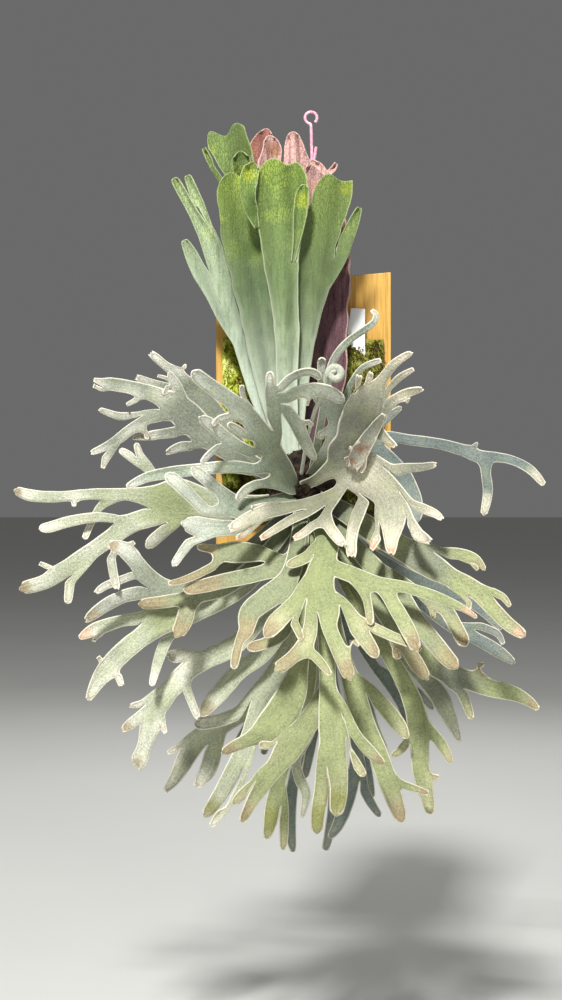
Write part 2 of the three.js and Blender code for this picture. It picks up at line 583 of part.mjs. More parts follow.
// ---------- board, rhizome, moss ----------
function boardSolid() {
  const half = BOARD_WIDTH / 2;
  const low = -BOARD_HEIGHT / 2;
  const high = BOARD_HEIGHT / 2;
  const outline = new THREE.Shape([
    new THREE.Vector2(-half, low),
    new THREE.Vector2(half, low),
    new THREE.Vector2(half, high),
    new THREE.Vector2(-half, high - BOARD_TOP_SLOPE),
  ]);
  const geometry = new THREE.ExtrudeGeometry(outline, { depth: BOARD_THICKNESS, bevelEnabled: false });
  geometry.rotateX(Math.PI / 2);
  return toSolid(geometry);
}

function rhizomeGeometry(growth) {
  const middle = place(RHIZOME.u, RHIZOME.v, RHIZOME.depth);
  const geometry = new THREE.SphereGeometry(1, RHIZOME_SIDES, RHIZOME_RINGS);
  geometry.scale(RHIZOME.width / 2 + growth, RHIZOME.thickness / 2 + growth, RHIZOME.height / 2 + growth);
  geometry.translate(middle.x, middle.y, middle.z);
  return geometry;
}

function mossLump(x, z) {
  const across = Math.sin(x / MOSS_LUMP.across + Math.sin(z / MOSS_LUMP.bendAcross));
  const up = Math.sin(z / MOSS_LUMP.up + Math.sin(x / MOSS_LUMP.bendUp));
  return MOSS.lumps * across * up;
}

function mossSolid() {
  const middle = place(MOSS.u, MOSS.v, BOARD_THICKNESS);
  const front = [];
  const back = [];
  const quads = [];
  for (let row = 0; row <= MOSS_ROWS; row += 1) {
    for (let column = 0; column <= MOSS_COLUMNS; column += 1) {
      const across = (2 * column) / MOSS_COLUMNS - 1;
      const up = (2 * row) / MOSS_ROWS - 1;
      const corner = 1 / Math.hypot(1, MOSS_CORNER * Math.min(Math.abs(across), Math.abs(up)) ** 2);
      const x = middle.x + (across * corner * MOSS.width) / 2;
      const z = middle.z + (up * corner * MOSS.height) / 2;
      const dome = (1 - across ** 4) * (1 - up ** 4);
      const rise = MOSS.edge + (MOSS.dome + mossLump(x, z)) * dome;
      front.push(new THREE.Vector3(x, -BOARD_THICKNESS - SEAT_GAP - rise, z));
      back.push(new THREE.Vector3(x, -BOARD_THICKNESS - SEAT_GAP, z));
    }
  }
  for (let row = 0; row < MOSS_ROWS; row += 1) {
    for (let column = 0; column < MOSS_COLUMNS; column += 1) {
      const first = row * (MOSS_COLUMNS + 1) + column;
      const above = first + MOSS_COLUMNS + 1;
      quads.push([first, first + 1, above + 1, above]);
    }
  }
  return toSolid(slabGeometry(front, back, quads));
}

// ---------- tubes: hanger wire and the coiled young frond ----------
function tubeSolid(points, diameter, steps) {
  const section = [];
  for (let side = 0; side < TUBE_SIDES; side += 1) {
    const angle = (2 * Math.PI * side) / TUBE_SIDES;
    section.push(new THREE.Vector2(Math.cos(angle), Math.sin(angle)).multiplyScalar(diameter / 2));
  }
  const settings = { steps, extrudePath: new THREE.CatmullRomCurve3(points), bevelEnabled: false };
  return toSolid(new THREE.ExtrudeGeometry(new THREE.Shape(section), settings));
}

// Up from a hole in the board's top and once round into an eye, with the twisted end beside it.
function wireSolid(growth) {
  const foot = place(WIRE.u, WIRE.topV, WIRE.depth);
  foot.z = BOARD_HEIGHT / 2 - BOARD_TOP_SLOPE / 2 - WIRE.hole;
  const top = place(WIRE.u, WIRE.topV, WIRE.depth);
  const points = [];
  for (const part of WIRE_STATIONS) {
    const point = foot.clone().lerp(top, part);
    point.x += WIRE.bow * Math.sin(Math.PI * part);
    points.push(point);
  }
  for (let station = 0; station <= WIRE_EYE.points; station += 1) {
    const turn = THREE.MathUtils.degToRad((WIRE_EYE.turn * station) / WIRE_EYE.points);
    const out = new THREE.Vector3(-Math.sin(turn), 0, 1 - Math.cos(turn));
    points.push(top.clone().addScaledVector(out, WIRE_EYE.radius));
  }
  const wire = tubeSolid(points, WIRE_DIAMETER + growth, WIRE_STEPS);
  const tail = WIRE_TAIL.map(([u, v]) => place(u, v, WIRE.depth));
  return wire.add(tubeSolid(tail, WIRE_DIAMETER, TAIL_STEPS));
}

// A young frond still rolled up, on its round stalk.
function crozierSolid() {
  const at = (u, v, share) => place(u, v, fertileDepth(share)({ u, v, forward: 0 }));
  const points = CROZIER.stalk.map(([u, v, share]) => at(u, v, share));
  const middle = at(CROZIER.u, CROZIER.v, CROZIER.share);
  const stations = Math.round(CROZIER.turns * CROZIER.perTurn);
  for (let station = 0; station <= stations; station += 1) {
    const part = station / stations;
    const angle = Math.PI - 2 * Math.PI * CROZIER.turns * part;
    const radius = THREE.MathUtils.lerp(CROZIER.outer, CROZIER.inner, part);
    const out = new THREE.Vector3(Math.cos(angle), 0, Math.sin(angle));
    points.push(middle.clone().addScaledVector(out, radius));
  }
  return tubeSolid(points, CROZIER.thickness, CROZIER.steps);
}

function tagSolid(growth) {
  const corners = TAG.corners.map(([u, v]) => place(u, v, TAG.depth));
  const outline = new THREE.Shape(corners.map((corner) => new THREE.Vector2(corner.x, corner.z)));
  const settings = { depth: TAG.thickness + 2 * growth, bevelEnabled: false };
  const geometry = new THREE.ExtrudeGeometry(outline, settings);
  geometry.rotateX(Math.PI / 2);
  geometry.translate(0, -TAG.depth + growth, 0);
  return toSolid(geometry);
}

// ---------- the whole plant ----------
const COLOURS = {
  pine: { color: 0xd9ab62, roughness: 0.6 },
  moss: { color: 0x7a8236, roughness: 0.95 },
  rhizome: { color: 0x4c3b2a, roughness: 0.9 },
  frond: { color: 0xb9c3a4, roughness: 0.75 },
  shield: { color: 0x6f8f4e, roughness: 0.6 },
  brown: { color: 0x7a5752, roughness: 0.8 },
  wire: { color: 0xd8a0b4, roughness: 0.45 },
  tag: { color: 0xf2f2ee, roughness: 0.5 },
};

const group = new THREE.Group();

function addPiece(name, solid, colour) {
  const material = new THREE.MeshStandardMaterial({ ...COLOURS[colour], metalness: 0 });
  const mesh = new THREE.Mesh(toGeometry(solid), material);
  mesh.name = name;
  group.add(mesh);
}

const rhizome = toSolid(rhizomeGeometry(0));
const rhizomeSeat = toSolid(rhizomeGeometry(SEAT_GAP));

function addFrond(name, branches, columns, depth, thickness, colour) {
  const blade = frondSolid(branches, columns, depth, thickness);
  addPiece(name, blade.subtract(rhizomeSeat), colour);
}

addPiece('board', boardSolid().subtract(wireSolid(2 * SEAT_GAP)), 'pine');
addPiece('hanger_wire', wireSolid(0), 'wire');
addPiece('moss_pad', mossSolid().subtract(rhizomeSeat).subtract(tagSolid(SEAT_GAP)), 'moss');
addPiece('plant_tag', tagSolid(0), 'tag');
addPiece('rhizome', rhizome, 'rhizome');

Object.entries({ ...BROWN_SHIELDS, ...GREEN_SHIELDS }).forEach(([name, branches], layer) => {
  const colour = name in BROWN_SHIELDS ? 'brown' : 'shield';
  addFrond(name, branches, SHIELD_COLUMNS, shieldDepth(layer), SHIELD_THICKNESS, colour);
});

const fertile = Object.entries(FERTILE_FRONDS);
fertile.forEach(([name, branches], layer) => {
  const depth = fertileDepth(layer / (fertile.length - 1));
  addFrond(`frond_${name}`, branches, 1, depth, BLADE_THICKNESS, 'frond');
});
for (const [name, { share, branches }] of Object.entries(PLACED_FRONDS)) {
  addFrond(`frond_${name}`, branches, 1, fertileDepth(share), BLADE_THICKNESS, 'frond');
}
addPiece('crozier', crozierSolid().subtract(rhizomeSeat), 'frond');

export default group;
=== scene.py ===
"""A staghorn fern mounted on a pine board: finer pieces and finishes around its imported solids.

Sizes here are in millimetres and Blender's are in metres. +Z is up, the plant faces -Y, and the
back of the board is the plane y = 0.
"""

import math
import random

import bpy
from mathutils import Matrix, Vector, noise
from mathutils.kdtree import KDTree


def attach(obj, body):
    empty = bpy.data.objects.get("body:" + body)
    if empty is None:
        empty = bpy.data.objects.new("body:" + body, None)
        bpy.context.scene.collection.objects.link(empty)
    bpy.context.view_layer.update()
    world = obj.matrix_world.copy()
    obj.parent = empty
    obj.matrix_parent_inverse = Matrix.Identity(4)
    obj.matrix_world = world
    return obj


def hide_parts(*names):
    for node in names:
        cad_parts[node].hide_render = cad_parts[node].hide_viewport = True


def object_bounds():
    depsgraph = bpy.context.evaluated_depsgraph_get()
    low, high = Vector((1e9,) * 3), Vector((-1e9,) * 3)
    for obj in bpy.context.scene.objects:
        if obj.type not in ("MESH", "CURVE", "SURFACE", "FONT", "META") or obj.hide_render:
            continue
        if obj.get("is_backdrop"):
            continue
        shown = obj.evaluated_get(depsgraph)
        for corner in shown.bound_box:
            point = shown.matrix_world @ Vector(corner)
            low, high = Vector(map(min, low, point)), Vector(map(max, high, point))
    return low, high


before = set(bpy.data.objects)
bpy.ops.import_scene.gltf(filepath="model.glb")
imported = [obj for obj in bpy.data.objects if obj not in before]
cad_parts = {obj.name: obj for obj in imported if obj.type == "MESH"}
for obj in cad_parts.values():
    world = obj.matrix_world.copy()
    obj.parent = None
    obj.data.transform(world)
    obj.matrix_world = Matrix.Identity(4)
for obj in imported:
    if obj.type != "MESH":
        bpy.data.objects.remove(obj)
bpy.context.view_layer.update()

# ---------- the same sizes as the solids have ----------
# u and v are pixels of the photograph, counted from its upper left corner.
MM = 0.001
BOARD_WIDTH = 150
BOARD_HEIGHT = 238
BOARD_THICKNESS = 19
BOARD_TOP_SLOPE = 13
PHOTO_BOARD_WIDTH = 175
PHOTO_BOARD_MIDDLE = (303.5, 411)
PHOTO_CENTRE = (281, 500)
PHOTO_HEIGHT = 1000
CAMERA_DISTANCE = 1300
SEAT_GAP = 0.35
RHIZOME = {"u": 305, "v": 488, "depth": 57, "width": 68, "thickness": 72, "height": 68}
MOSS = {"u": 303, "v": 432, "width": 143, "height": 165, "edge": 4, "dome": 11, "lumps": 1.6}
REACH_PX = 400
REAR_FROND = (34, 60, 25)
FRONT_FROND = (46, 210, 150)
WAVE = {"height": 0.9, "across": 17, "along": 21, "start": 90}
SHIELD_FOOT_V = 455
SHIELD_TOP_V = 130
SHIELD_FOOT = {"depth": 42, "spacing": 3.2}
SHIELD_TOP = {"depth": 36, "spacing": 9.5}
SHIELD_CUP = 3.5
WIRE_DIAMETER = 2.6
WIRE = {"u": 311, "top_v": 124, "depth": 9.5, "bow": 1.2, "hole": 12}
WIRE_EYE = {"radius": 5.2, "turn": 318}
WIRE_TAIL = [(311.5, 176), (313, 165), (315, 156), (316, 147)]
CROZIER = {"share": 0.966, "u": 335, "v": 374, "outer": 6, "inner": 2.2, "turns": 1.3}
CROZIER_STALK = [(300, 484, 0.87), (304, 455, 0.9), (308, 435, 0.935), (314, 412, 0.96),
                 (323, 391, 0.966)]
TAG = {"depth": 27, "thickness": 0.8}
TAG_CORNERS = [(351, 308), (365, 309), (365, 362), (352, 362), (347, 333)]

SCALE_AT_BOARD = BOARD_WIDTH / PHOTO_BOARD_WIDTH
SCALE_AT_WALL = SCALE_AT_BOARD / (1 - BOARD_THICKNESS / CAMERA_DISTANCE)
CENTRE_X = (PHOTO_CENTRE[0] - PHOTO_BOARD_MIDDLE[0]) * SCALE_AT_BOARD
CENTRE_Z = (PHOTO_BOARD_MIDDLE[1] - PHOTO_CENTRE[1]) * SCALE_AT_BOARD

# ---------- finer form ----------
# Faces across a blade and between two stations, and a blade's thickness.
FROND_COLUMNS = 4
SHIELD_COLUMNS = 8
FROND_THICKNESS = 1.25
SHIELD_THICKNESS = 1.2
# A blade is drawn a little wider than its stations say, and its edges wobble.
SPREAD_PX = 0.3
EDGE_WOBBLE = {"share": 0.07, "size": 9}
# Where two branches fork: how far the side one keeps off, and the rows of the web between them.
FORK_CLEARANCE_PX = 1
WEB_ROWS = (0.2, 0.5)
# How far a finger curls at its end, twists and is cupped: a frond's own, then the range of draws.
FROND_CURL = 2.5
FROND_TWIST = 0.34
SHIELD_CURL = 1.5
SHIELD_TWIST = 0.06
CURL_DRAW = (-0.4, 1.0)
CUP_DRAW = (-0.24, 0.1)
# Slow waves in the depth of a blade: their size in pixels and height in mm.
FROND_WANDER = {"size": 22, "height": 2.2}
SHIELD_WANDER = {"across": 22, "up": 45, "height": 1.4}
# A shield's pleats fan out from so far below its foot, each shield's turned on from the last.
PLEATS_MEET_PX = 40
PLEAT_SHIFT = 1.7
# A finger's end: one more station, so many widths on and so wide, and how far the points of
# its row then reach out, in widths. Only fingers wider than a few pixels end ragged.
TIP_LENGTH = 0.3
TIP_WIDTH = 0.66
ROUND_END = (-0.24, 0.06, 0.15, 0.06, -0.24)
RAGGED_ENDS = ((0.1, 0.5, -0.1, 0.3, -0.1), (-0.1, 0.25, 0.0, 0.55, 0.15),
               (0.35, -0.1, 0.35, -0.15, 0.3))
RAGGED_FROM_PX = 4
# The wire's points round its eye and up its rise, and the crozier's radii and tone.
WIRE_STEPS = 24
WIRE_RISE = (0, 0.1, 0.25, 0.4, 0.55, 0.7, 0.85, 0.95)
CROZIER_FORM = {"stalk": [1.6, 1.5, 1.4, 1.5, 1.9], "roll": 2.2, "swell": 0.9, "forward": 0.12,
                "steps": 24, "rim": 6.0, "tint": "b4b8a6"}
# Eased edges, then the moss with its sprigs and the bud with its scales.
BOARD_EDGE = 0.9
TAG_EDGE = 0.25
MOSS_CORNER = 0.14
MOSS_RAGGED = 0.03
MOSS_GRID = (70, 80)
MOSS_WAVES = {"x": 5.1, "z": 6.3, "slow_x": 7, "slow_z": 8}
MOSS_ROUGH = {"size": 6, "height": 1.5}
SPRIGS = {"count": 3200, "leaves": 4, "reach": 0.985, "length": (1.4, 3.2), "lift": (0.5, 1.3),
          "half": 0.45, "root": 0.6}
SPRIG_FACES = ((0, 4, 1), (1, 4, 2), (2, 4, 3), (3, 4, 0), (0, 1, 2, 3))
BUD = {"shrink": 0.93, "lumps": 0.05, "lump_size": 4}
SCALES = {"count": 520, "length": (5, 9), "width": (1.2, 2.2), "lift": 0.9, "tip": 1.4,
          "under": 0.1}
SCALE_FACES = ((0, 1, 2, 3, 4), (1, 0, 5), (2, 1, 5), (3, 2, 5), (4, 3, 5), (0, 4, 5))

# ---------- studio: places and sizes in metres, power in watts ----------
LIGHTS = {"key": ((-0.55, -2.3, 2.3), 190, 0.4), "fill": ((1.8, -1.6, 0.1), 7, 1.4),
          "back": ((0.2, 1.6, 0.9), 12, 1.4)}
LIT_POINT = (0, -0.08, -0.08)
SKY = {"colour": (0.9, 0.91, 0.9, 1), "strength": 0.16}
FLOOR = {"size": 80, "drop": 0.18}
SENSOR = 36

# ---------- fronds: [u, v, width] in photograph pixels, then a step forward in mm ----------
# A branch's name is the way to it: "2l" leaves the left side of the midline's stretch 2,
# counted from 0, and "2l1r" leaves the right side of stretch 1 of that branch.
FERTILE_FRONDS = {
  "low_back_finger": {
    "": [[311, 512, 12], [322, 600, 12], [333, 690, 12], [336, 760, 12], [333, 810, 11],
      [329, 835, 9], [326, 848, 7]],
    "2l": [[348, 700, 10], [359, 738, 10], [368, 772, 9], [372, 796, 6]],
    "1l": [[338, 640, 9], [352, 672, 9], [366, 700, 9], [376, 728, 8], [386, 752, 6]],
    "2r": [[318, 716, 9], [311, 748, 9], [305, 776, 7]],
  },
  "low_dark_finger": {
    "": [[307, 512, 12], [312, 600, 12], [310, 690, 12], [300, 750, 12], [292, 790, 12],
      [290, 825, 12], [293, 850, 6]],
    "1r": [[294, 650, 10], [280, 688, 10], [270, 724, 9], [264, 752, 7]],
    "1r1r": [[262, 704, 8], [246, 728, 8], [236, 746, 6]],
  },
  "low_left_tips": {
    "": [[304, 510, 12], [308, 590, 14], [290, 660, 16], [255, 705, 18], [222, 725, 18],
      [200, 738, 20], [187, 756, 19], [177, 775, 14], [167, 789, 7]],
    "5r": [[180, 747, 8], [169, 752, 5]],
    "4l": [[214, 750, 17], [208, 770, 17], [198, 784, 9]],
    "1r": [[272, 640, 10], [246, 668, 10], [224, 694, 9], [208, 712, 7]],
  },
  "low_right_shaded": {
    "": [[313, 510, 12], [330, 590, 12], [345, 660, 14], [355, 720, 14], [357, 755, 14],
      [353, 780, 14], [346, 803, 15], [338, 825, 12], [331, 836, 7]],
    "4l": [[364, 790, 10], [372, 805, 9], [379, 815, 6]],
    "1l": [[358, 640, 10], [376, 668, 10], [394, 692, 10], [406, 716, 9], [410, 738, 7]],
    "1l1l": [[402, 680, 8], [420, 694, 8], [432, 708, 6]],
  },
  "left_upper_shaded": {
    "": [[295, 492, 10], [268, 478, 14], [246, 458, 16], [230, 434, 18], [214, 412, 20],
      [197, 394, 19], [182, 378, 12], [166, 366, 9], [153, 355, 8]],
    "5l": [[170, 388, 9], [152, 383, 8], [139, 378, 7, 3]],
    "6r": [[184, 368, 5], [185, 365, 3]],
  },
  "right_long": {
    "": [[312, 484, 12], [335, 462, 14], [360, 446, 14], [385, 437, 12], [410, 440, 11],
      [440, 444, 11], [462, 450, 12], [478, 456, 13], [495, 457, 10], [512, 460, 9], [530, 469, 9],
      [543, 483, 6]],
    "7r": [[486, 474, 10], [488, 492, 10], [484, 513, 7]],
    "6l": [[474, 447, 6], [477, 443, 3]],
    "2l": [[380, 424, 10], [391, 415, 8], [400, 408, 5]],
    "2r": [[386, 456, 16], [402, 475, 18], [413, 498, 18], [416, 518, 12]],
  },
  "low_middle_tips": {
    "": [[306, 510, 12], [310, 590, 14], [312, 660, 14], [300, 720, 14], [286, 758, 14],
      [279, 782, 14], [273, 805, 16], [270, 824, 13], [267, 836, 8]],
    "5l": [[284, 812, 10], [284, 835, 9], [283, 848, 6]],
  },
  "low_left_hanging": {
    "": [[304, 508, 12], [303, 580, 14], [292, 640, 18], [272, 680, 22], [262, 705, 24],
      [250, 735, 18], [236, 765, 17], [220, 795, 16], [206, 815, 9]],
    "3r": [[238, 714, 13], [218, 721, 13], [199, 724, 12]],
    "5l": [[238, 785, 12], [225, 808, 11], [212, 825, 6]],
  },
  "right_dark": {
    "": [[316, 496, 12], [370, 555, 14], [425, 605, 14], [455, 628, 14], [475, 638, 13],
      [496, 650, 13], [513, 662, 7]],
    "3l": [[480, 626, 8], [498, 634, 7], [503, 643, 4]],
    "1l": [[442, 588, 10], [466, 600, 10], [486, 614, 9], [500, 628, 6]],
  },
  "left_crest": {
    "": [[298, 488, 12], [275, 475, 16], [250, 463, 20], [230, 450, 24], [212, 438, 26],
      [196, 424, 30], [180, 410, 30], [164, 399, 20], [148, 392, 15], [130, 387, 13],
      [112, 384, 13], [102, 382, 8], [95, 380, 4]],
    "6r": [[179, 389, 10], [174, 381, 9], [170, 374, 6]],
    "6r0l": [[168, 386, 5], [164, 394, 3]],
    "6r1l": [[166, 378, 4], [159, 376, 3]],
    "8l": [[136, 400, 6], [128, 404, 4]],
    "10l": [[102, 388, 7], [95, 386, 4]],
    "6l": [[160, 415, 13], [145, 420, 11], [130, 430, 11], [117, 440, 10], [105, 447, 8],
      [93, 452, 5]],
    "6l3l": [[106, 458, 9], [103, 467, 4]],
    "6l1l": [[147, 434, 6], [147, 438, 4]],
    "6l0r": [[136, 416, 8, -3], [118, 416, 8, -4], [101, 410, 5, -4]],
    "5l": [[176, 432, 11], [162, 434, 10, -2], [148, 436, 9, -4], [134, 438, 4, -5]],
    "4l": [[192, 446, 10], [180, 447, 10], [169, 452, 6]],
  },
  "low_left_pale": {
    "": [[303, 508, 12], [298, 570, 14], [285, 620, 16], [262, 655, 18], [240, 670, 18],
      [224, 688, 18], [210, 704, 16], [203, 713, 10]],
  },
  "low_small_tips": {
    "": [[308, 512, 12], [318, 600, 12], [322, 680, 12], [308, 735, 12], [296, 760, 10],
      [300, 780, 11], [306, 793, 10], [304, 808, 7], [302, 816, 5]],
  },
  "right_low_back": {
    "": [[312, 504, 12], [345, 570, 14], [390, 640, 16], [425, 678, 17], [440, 697, 20],
      [449, 716, 16], [456, 732, 9], [459, 740, 5]],
  },
  "left_long": {
    "": [[300, 496, 12], [270, 502, 16], [240, 506, 24], [212, 505, 30], [188, 500, 38],
      [168, 500, 44], [152, 497, 24], [125, 494, 12], [96, 494, 11], [80, 495, 11], [70, 496, 11],
      [50, 497, 12], [28, 495, 12], [17, 491, 9]],
    "4r": [[156, 482, 14], [147, 467, 12], [140, 455, 8], [137, 445, 6]],
    "4r1l": [[131, 457, 9], [122, 451, 7]],
    "5l": [[147, 518, 20], [132, 523, 20], [112, 537, 17], [92, 551, 17], [67, 568, 17],
      [45, 582, 15], [24, 588, 13]],
    "5l1r": [[116, 519, 9], [98, 517, 10], [67, 522, 11], [50, 527, 11], [42, 528, 8]],
    "5l4r": [[52, 569, 6], [41, 564, 4]],
    "5l3l": [[70, 582, 10], [69, 592, 9], [68, 601, 7]],
    "7l": [[99, 508, 8, -4], [92, 521, 7, -6], [85, 537, 6, -6]],
    "9l": [[74, 502, 7], [74, 505, 4]],
    "4l": [[167, 529, 12], [155, 539, 13], [149, 545, 10]],
  },
  "left_low": {
    "": [[303, 506, 12], [290, 560, 14], [265, 610, 18], [235, 645, 20], [205, 660, 20],
      [186, 672, 20], [170, 690, 20], [155, 710, 23], [149, 730, 20], [144, 748, 15],
      [139, 761, 17]],
    "6r": [[142, 704, 8], [132, 706, 5]],
    "7r": [[135, 721, 12], [125, 728, 8]],
    "7l": [[163, 728, 7], [165, 732, 4]],
    "4r": [[182, 655, 15], [174, 656, 14]],
    "5l": [[187, 690, 9], [192, 703, 8], [197, 715, 7]],
  },
  "right_hanging": {
    "": [[310, 504, 12], [335, 560, 14], [362, 610, 16], [385, 650, 14], [400, 674, 17],
      [412, 700, 20], [418, 722, 22], [420, 745, 19], [421, 770, 18], [426, 792, 15],
      [430, 810, 11]],
    "6l": [[438, 739, 12], [446, 752, 10], [450, 761, 7]],
    "8l": [[434, 777, 6], [438, 777, 4]],
    "6r": [[408, 742, 9], [399, 752, 8], [393, 755, 6]],
  },
  "right_low": {
    "": [[314, 500, 12], [350, 550, 16], [390, 612, 18], [420, 655, 20], [446, 672, 22],
      [468, 680, 20], [490, 688, 18], [515, 694, 15], [530, 702, 10], [537, 708, 6]],
    "5l": [[478, 666, 7], [482, 664, 5]],
    "4r": [[462, 692, 11], [468, 708, 9], [471, 717, 6]],
  },
  "left_low_forked": {
    "": [[302, 504, 12], [280, 545, 14], [245, 585, 18], [212, 602, 24], [185, 610, 32],
      [165, 617, 34], [148, 632, 22], [130, 646, 20], [113, 662, 20], [100, 678, 16], [89, 698, 7]],
    "5r": [[143, 618, 14], [121, 621, 12], [102, 627, 14], [90, 632, 12], [81, 637, 6]],
    "5r2l": [[95, 637, 7], [94, 640, 4]],
    "8r": [[102, 662, 6], [99, 658, 4]],
    "8l": [[118, 676, 8], [121, 684, 6]],
    "4l": [[168, 636, 12], [160, 655, 11], [155, 672, 9], [152, 684, 6]],
  },
  "low_right_blade": {
    "": [[313, 506, 12], [325, 570, 14], [338, 640, 16], [349, 675, 18], [357, 700, 22],
      [366, 726, 20], [377, 751, 20], [386, 776, 20], [394, 798, 18], [401, 818, 12]],
    "7l": [[404, 785, 8], [416, 789, 7], [427, 793, 5]],
    "3l": [[371, 692, 15], [387, 710, 16], [400, 727, 14], [406, 736, 8]],
  },
  "low_left_blade": {
    "": [[305, 508, 12], [306, 570, 14], [304, 630, 16], [300, 662, 18], [293, 690, 30],
      [282, 713, 36], [266, 730, 30], [250, 739, 15], [235, 746, 12], [224, 752, 8]],
  },
  "left_pale_crest": {
    "": [[300, 500, 12], [270, 530, 14], [230, 565, 16], [195, 588, 18], [170, 590, 20],
      [152, 580, 18], [136, 562, 16], [122, 548, 15], [113, 545, 11]],
    "6r": [[130, 545, 7], [133, 543, 4]],
    "7l": [[111, 558, 9], [113, 572, 9, 3], [116, 586, 7, 4]],
    "4l": [[145, 592, 14], [125, 596, 14], [105, 606, 13], [89, 618, 9]],
    "5l": [[134, 575, 8], [118, 581, 8], [105, 586, 8], [98, 591, 6]],
  },
  "right_tan_finger": {
    "": [[312, 502, 12], [342, 545, 16], [372, 595, 18], [392, 625, 16], [406, 647, 15],
      [418, 666, 15], [426, 677, 10]],
    "3r": [[397, 648, 10], [397, 656, 9]],
  },
  "low_middle_blade": {
    "": [[308, 508, 12], [315, 570, 14], [326, 640, 14], [328, 680, 14], [318, 706, 20],
      [303, 730, 24], [288, 750, 28], [275, 768, 20], [262, 786, 16], [250, 806, 11],
      [243, 820, 7]],
    "5r": [[272, 746, 9], [262, 745, 8]],
    "7r": [[255, 784, 12], [244, 793, 11], [235, 802, 8]],
  },
  "left_tan_finger": {
    "": [[302, 498, 12], [285, 530, 14], [255, 565, 16], [225, 588, 16], [200, 595, 15],
      [175, 600, 13], [155, 603, 13], [142, 604, 10]],
    "4l": [[187, 611, 17], [184, 622, 18], [178, 633, 13]],
  },
  "low_middle_front": {
    "": [[311, 508, 12], [318, 570, 14], [326, 640, 16], [328, 690, 18], [330, 715, 24],
      [333, 740, 28], [337, 765, 22], [339, 790, 18], [337, 811, 14]],
    "5r": [[322, 790, 16], [318, 812, 14], [317, 830, 11]],
    "3l": [[346, 716, 12], [356, 735, 11], [370, 752, 12], [382, 763, 7]],
    "4l": [[346, 750, 11], [355, 762, 10], [363, 774, 8]],
  },
  "right_paired_fingers": {
    "": [[312, 498, 12], [345, 535, 16], [378, 572, 20], [396, 592, 22], [414, 617, 18],
      [432, 640, 18], [446, 657, 17], [454, 665, 13]],
    "2l": [[425, 600, 14], [444, 608, 14], [455, 625, 14], [464, 642, 12]],
    "2l0r": [[433, 612, 7], [433, 617, 5]],
  },
  "left_middle": {
    "": [[303, 494, 12], [300, 520, 16], [300, 545, 18], [290, 562, 20], [264, 572, 16],
      [243, 577, 16], [223, 581, 15], [203, 586, 14], [188, 589, 11]],
    "3r": [[262, 553, 16], [243, 552, 22], [226, 552, 20], [212, 549, 9], [200, 547, 7]],
    "3r2l": [[214, 566, 9, 1], [196, 575, 8, 4], [180, 581, 7, 5], [170, 583, 5, 5]],
  },
  "middle_tan_fingers": {
    "": [[303, 500, 12], [298, 540, 16], [290, 575, 20], [268, 597, 24], [250, 612, 22],
      [246, 630, 16], [240, 640, 10], [236, 655, 9], [234, 666, 7]],
    "2l": [[290, 612, 12], [284, 632, 13], [266, 643, 12], [251, 647, 10]],
  },
  "right_fork": {
    "": [[312, 494, 12], [345, 512, 20], [378, 534, 24], [405, 550, 26], [428, 564, 28],
      [450, 577, 20], [475, 590, 18], [492, 608, 15], [508, 624, 14], [522, 634, 10]],
    "3l": [[440, 553, 12], [460, 554, 12], [476, 559, 9], [484, 569, 5]],
    "3l1r": [[472, 562, 6], [477, 569, 4]],
    "6l": [[492, 592, 9], [503, 597, 7], [509, 605, 5]],
    "5r": [[469, 602, 6], [469, 608, 4]],
  },
  "left_arched": {
    "": [[300, 494, 12], [280, 503, 20], [258, 510, 26], [238, 507, 24], [222, 493, 14],
      [207, 480, 12], [195, 470, 11]],
    "3l": [[206, 511, 12], [192, 497, 13], [179, 484, 14], [170, 477, 13]],
    "2l": [[238, 527, 16], [215, 528, 18], [196, 526, 20], [187, 524, 15]],
    "2l1l": [[190, 542, 10], [181, 554, 9], [174, 564, 7]],
  },
  "inner_crest": {
    "": [[308, 482, 12], [322, 462, 16], [334, 444, 20], [338, 424, 20], [330, 408, 14],
      [318, 398, 11], [315, 387, 8]],
    "2l": [[325, 434, 10], [319, 436, 8]],
    "3r": [[350, 385, 6], [362, 368, 6], [379, 361, 5]],
  },
  "centre_lower": {
    "": [[309, 492, 10], [315, 512, 18], [327, 538, 24], [325, 557, 24], [320, 575, 30],
      [321, 595, 30], [328, 608, 25], [329, 626, 17], [338, 648, 16], [346, 668, 15],
      [349, 676, 12]],
    "2r": [[308, 556, 12], [298, 561, 11], [290, 564, 9]],
    "3l": [[352, 574, 17], [378, 584, 16], [400, 586, 12], [422, 592, 12], [446, 601, 11],
      [464, 609, 7], [476, 617, 4]],
    "3l0r": [[367, 600, 9], [369, 612, 8, 2], [370, 622, 7, 3]],
    "3l1r": [[392, 602, 15], [404, 622, 16, 2], [413, 640, 14, 4], [416, 648, 11, 4]],
    "4r": [[297, 601, 17], [287, 611, 18], [276, 622, 18], [268, 633, 13]],
    "4r0l": [[294, 622, 9], [299, 632, 8], [301, 638, 6]],
    "5r": [[311, 624, 14], [307, 640, 16], [294, 656, 14], [279, 668, 13]],
    "5r1l": [[314, 655, 10], [322, 664, 9], [329, 673, 6]],
    "5l": [[352, 620, 18], [363, 636, 16], [371, 648, 13], [375, 654, 10]],
    "5l0l": [[376, 629, 11], [392, 636, 10], [409, 643, 8], [419, 649, 5]],
    "8l": [[353, 640, 5], [358, 645, 3]],
  },
  "centre_left": {
    "": [[299, 489, 12], [291, 485, 20], [281, 468, 24], [271, 450, 22], [263, 436, 22],
      [250, 418, 19], [230, 400, 16], [210, 386, 15], [196, 375, 13]],
    "3r": [[275, 430, 15], [274, 416, 15], [273, 405, 15], [271, 395, 12], [270, 385, 9],
      [270, 375, 8]],
    "3r1r": [[286, 410, 12], [295, 422, 13], [302, 436, 13], [309, 450, 11], [314, 458, 7]],
    "3r1r1l": [[307, 422, 6], [312, 425, 4]],
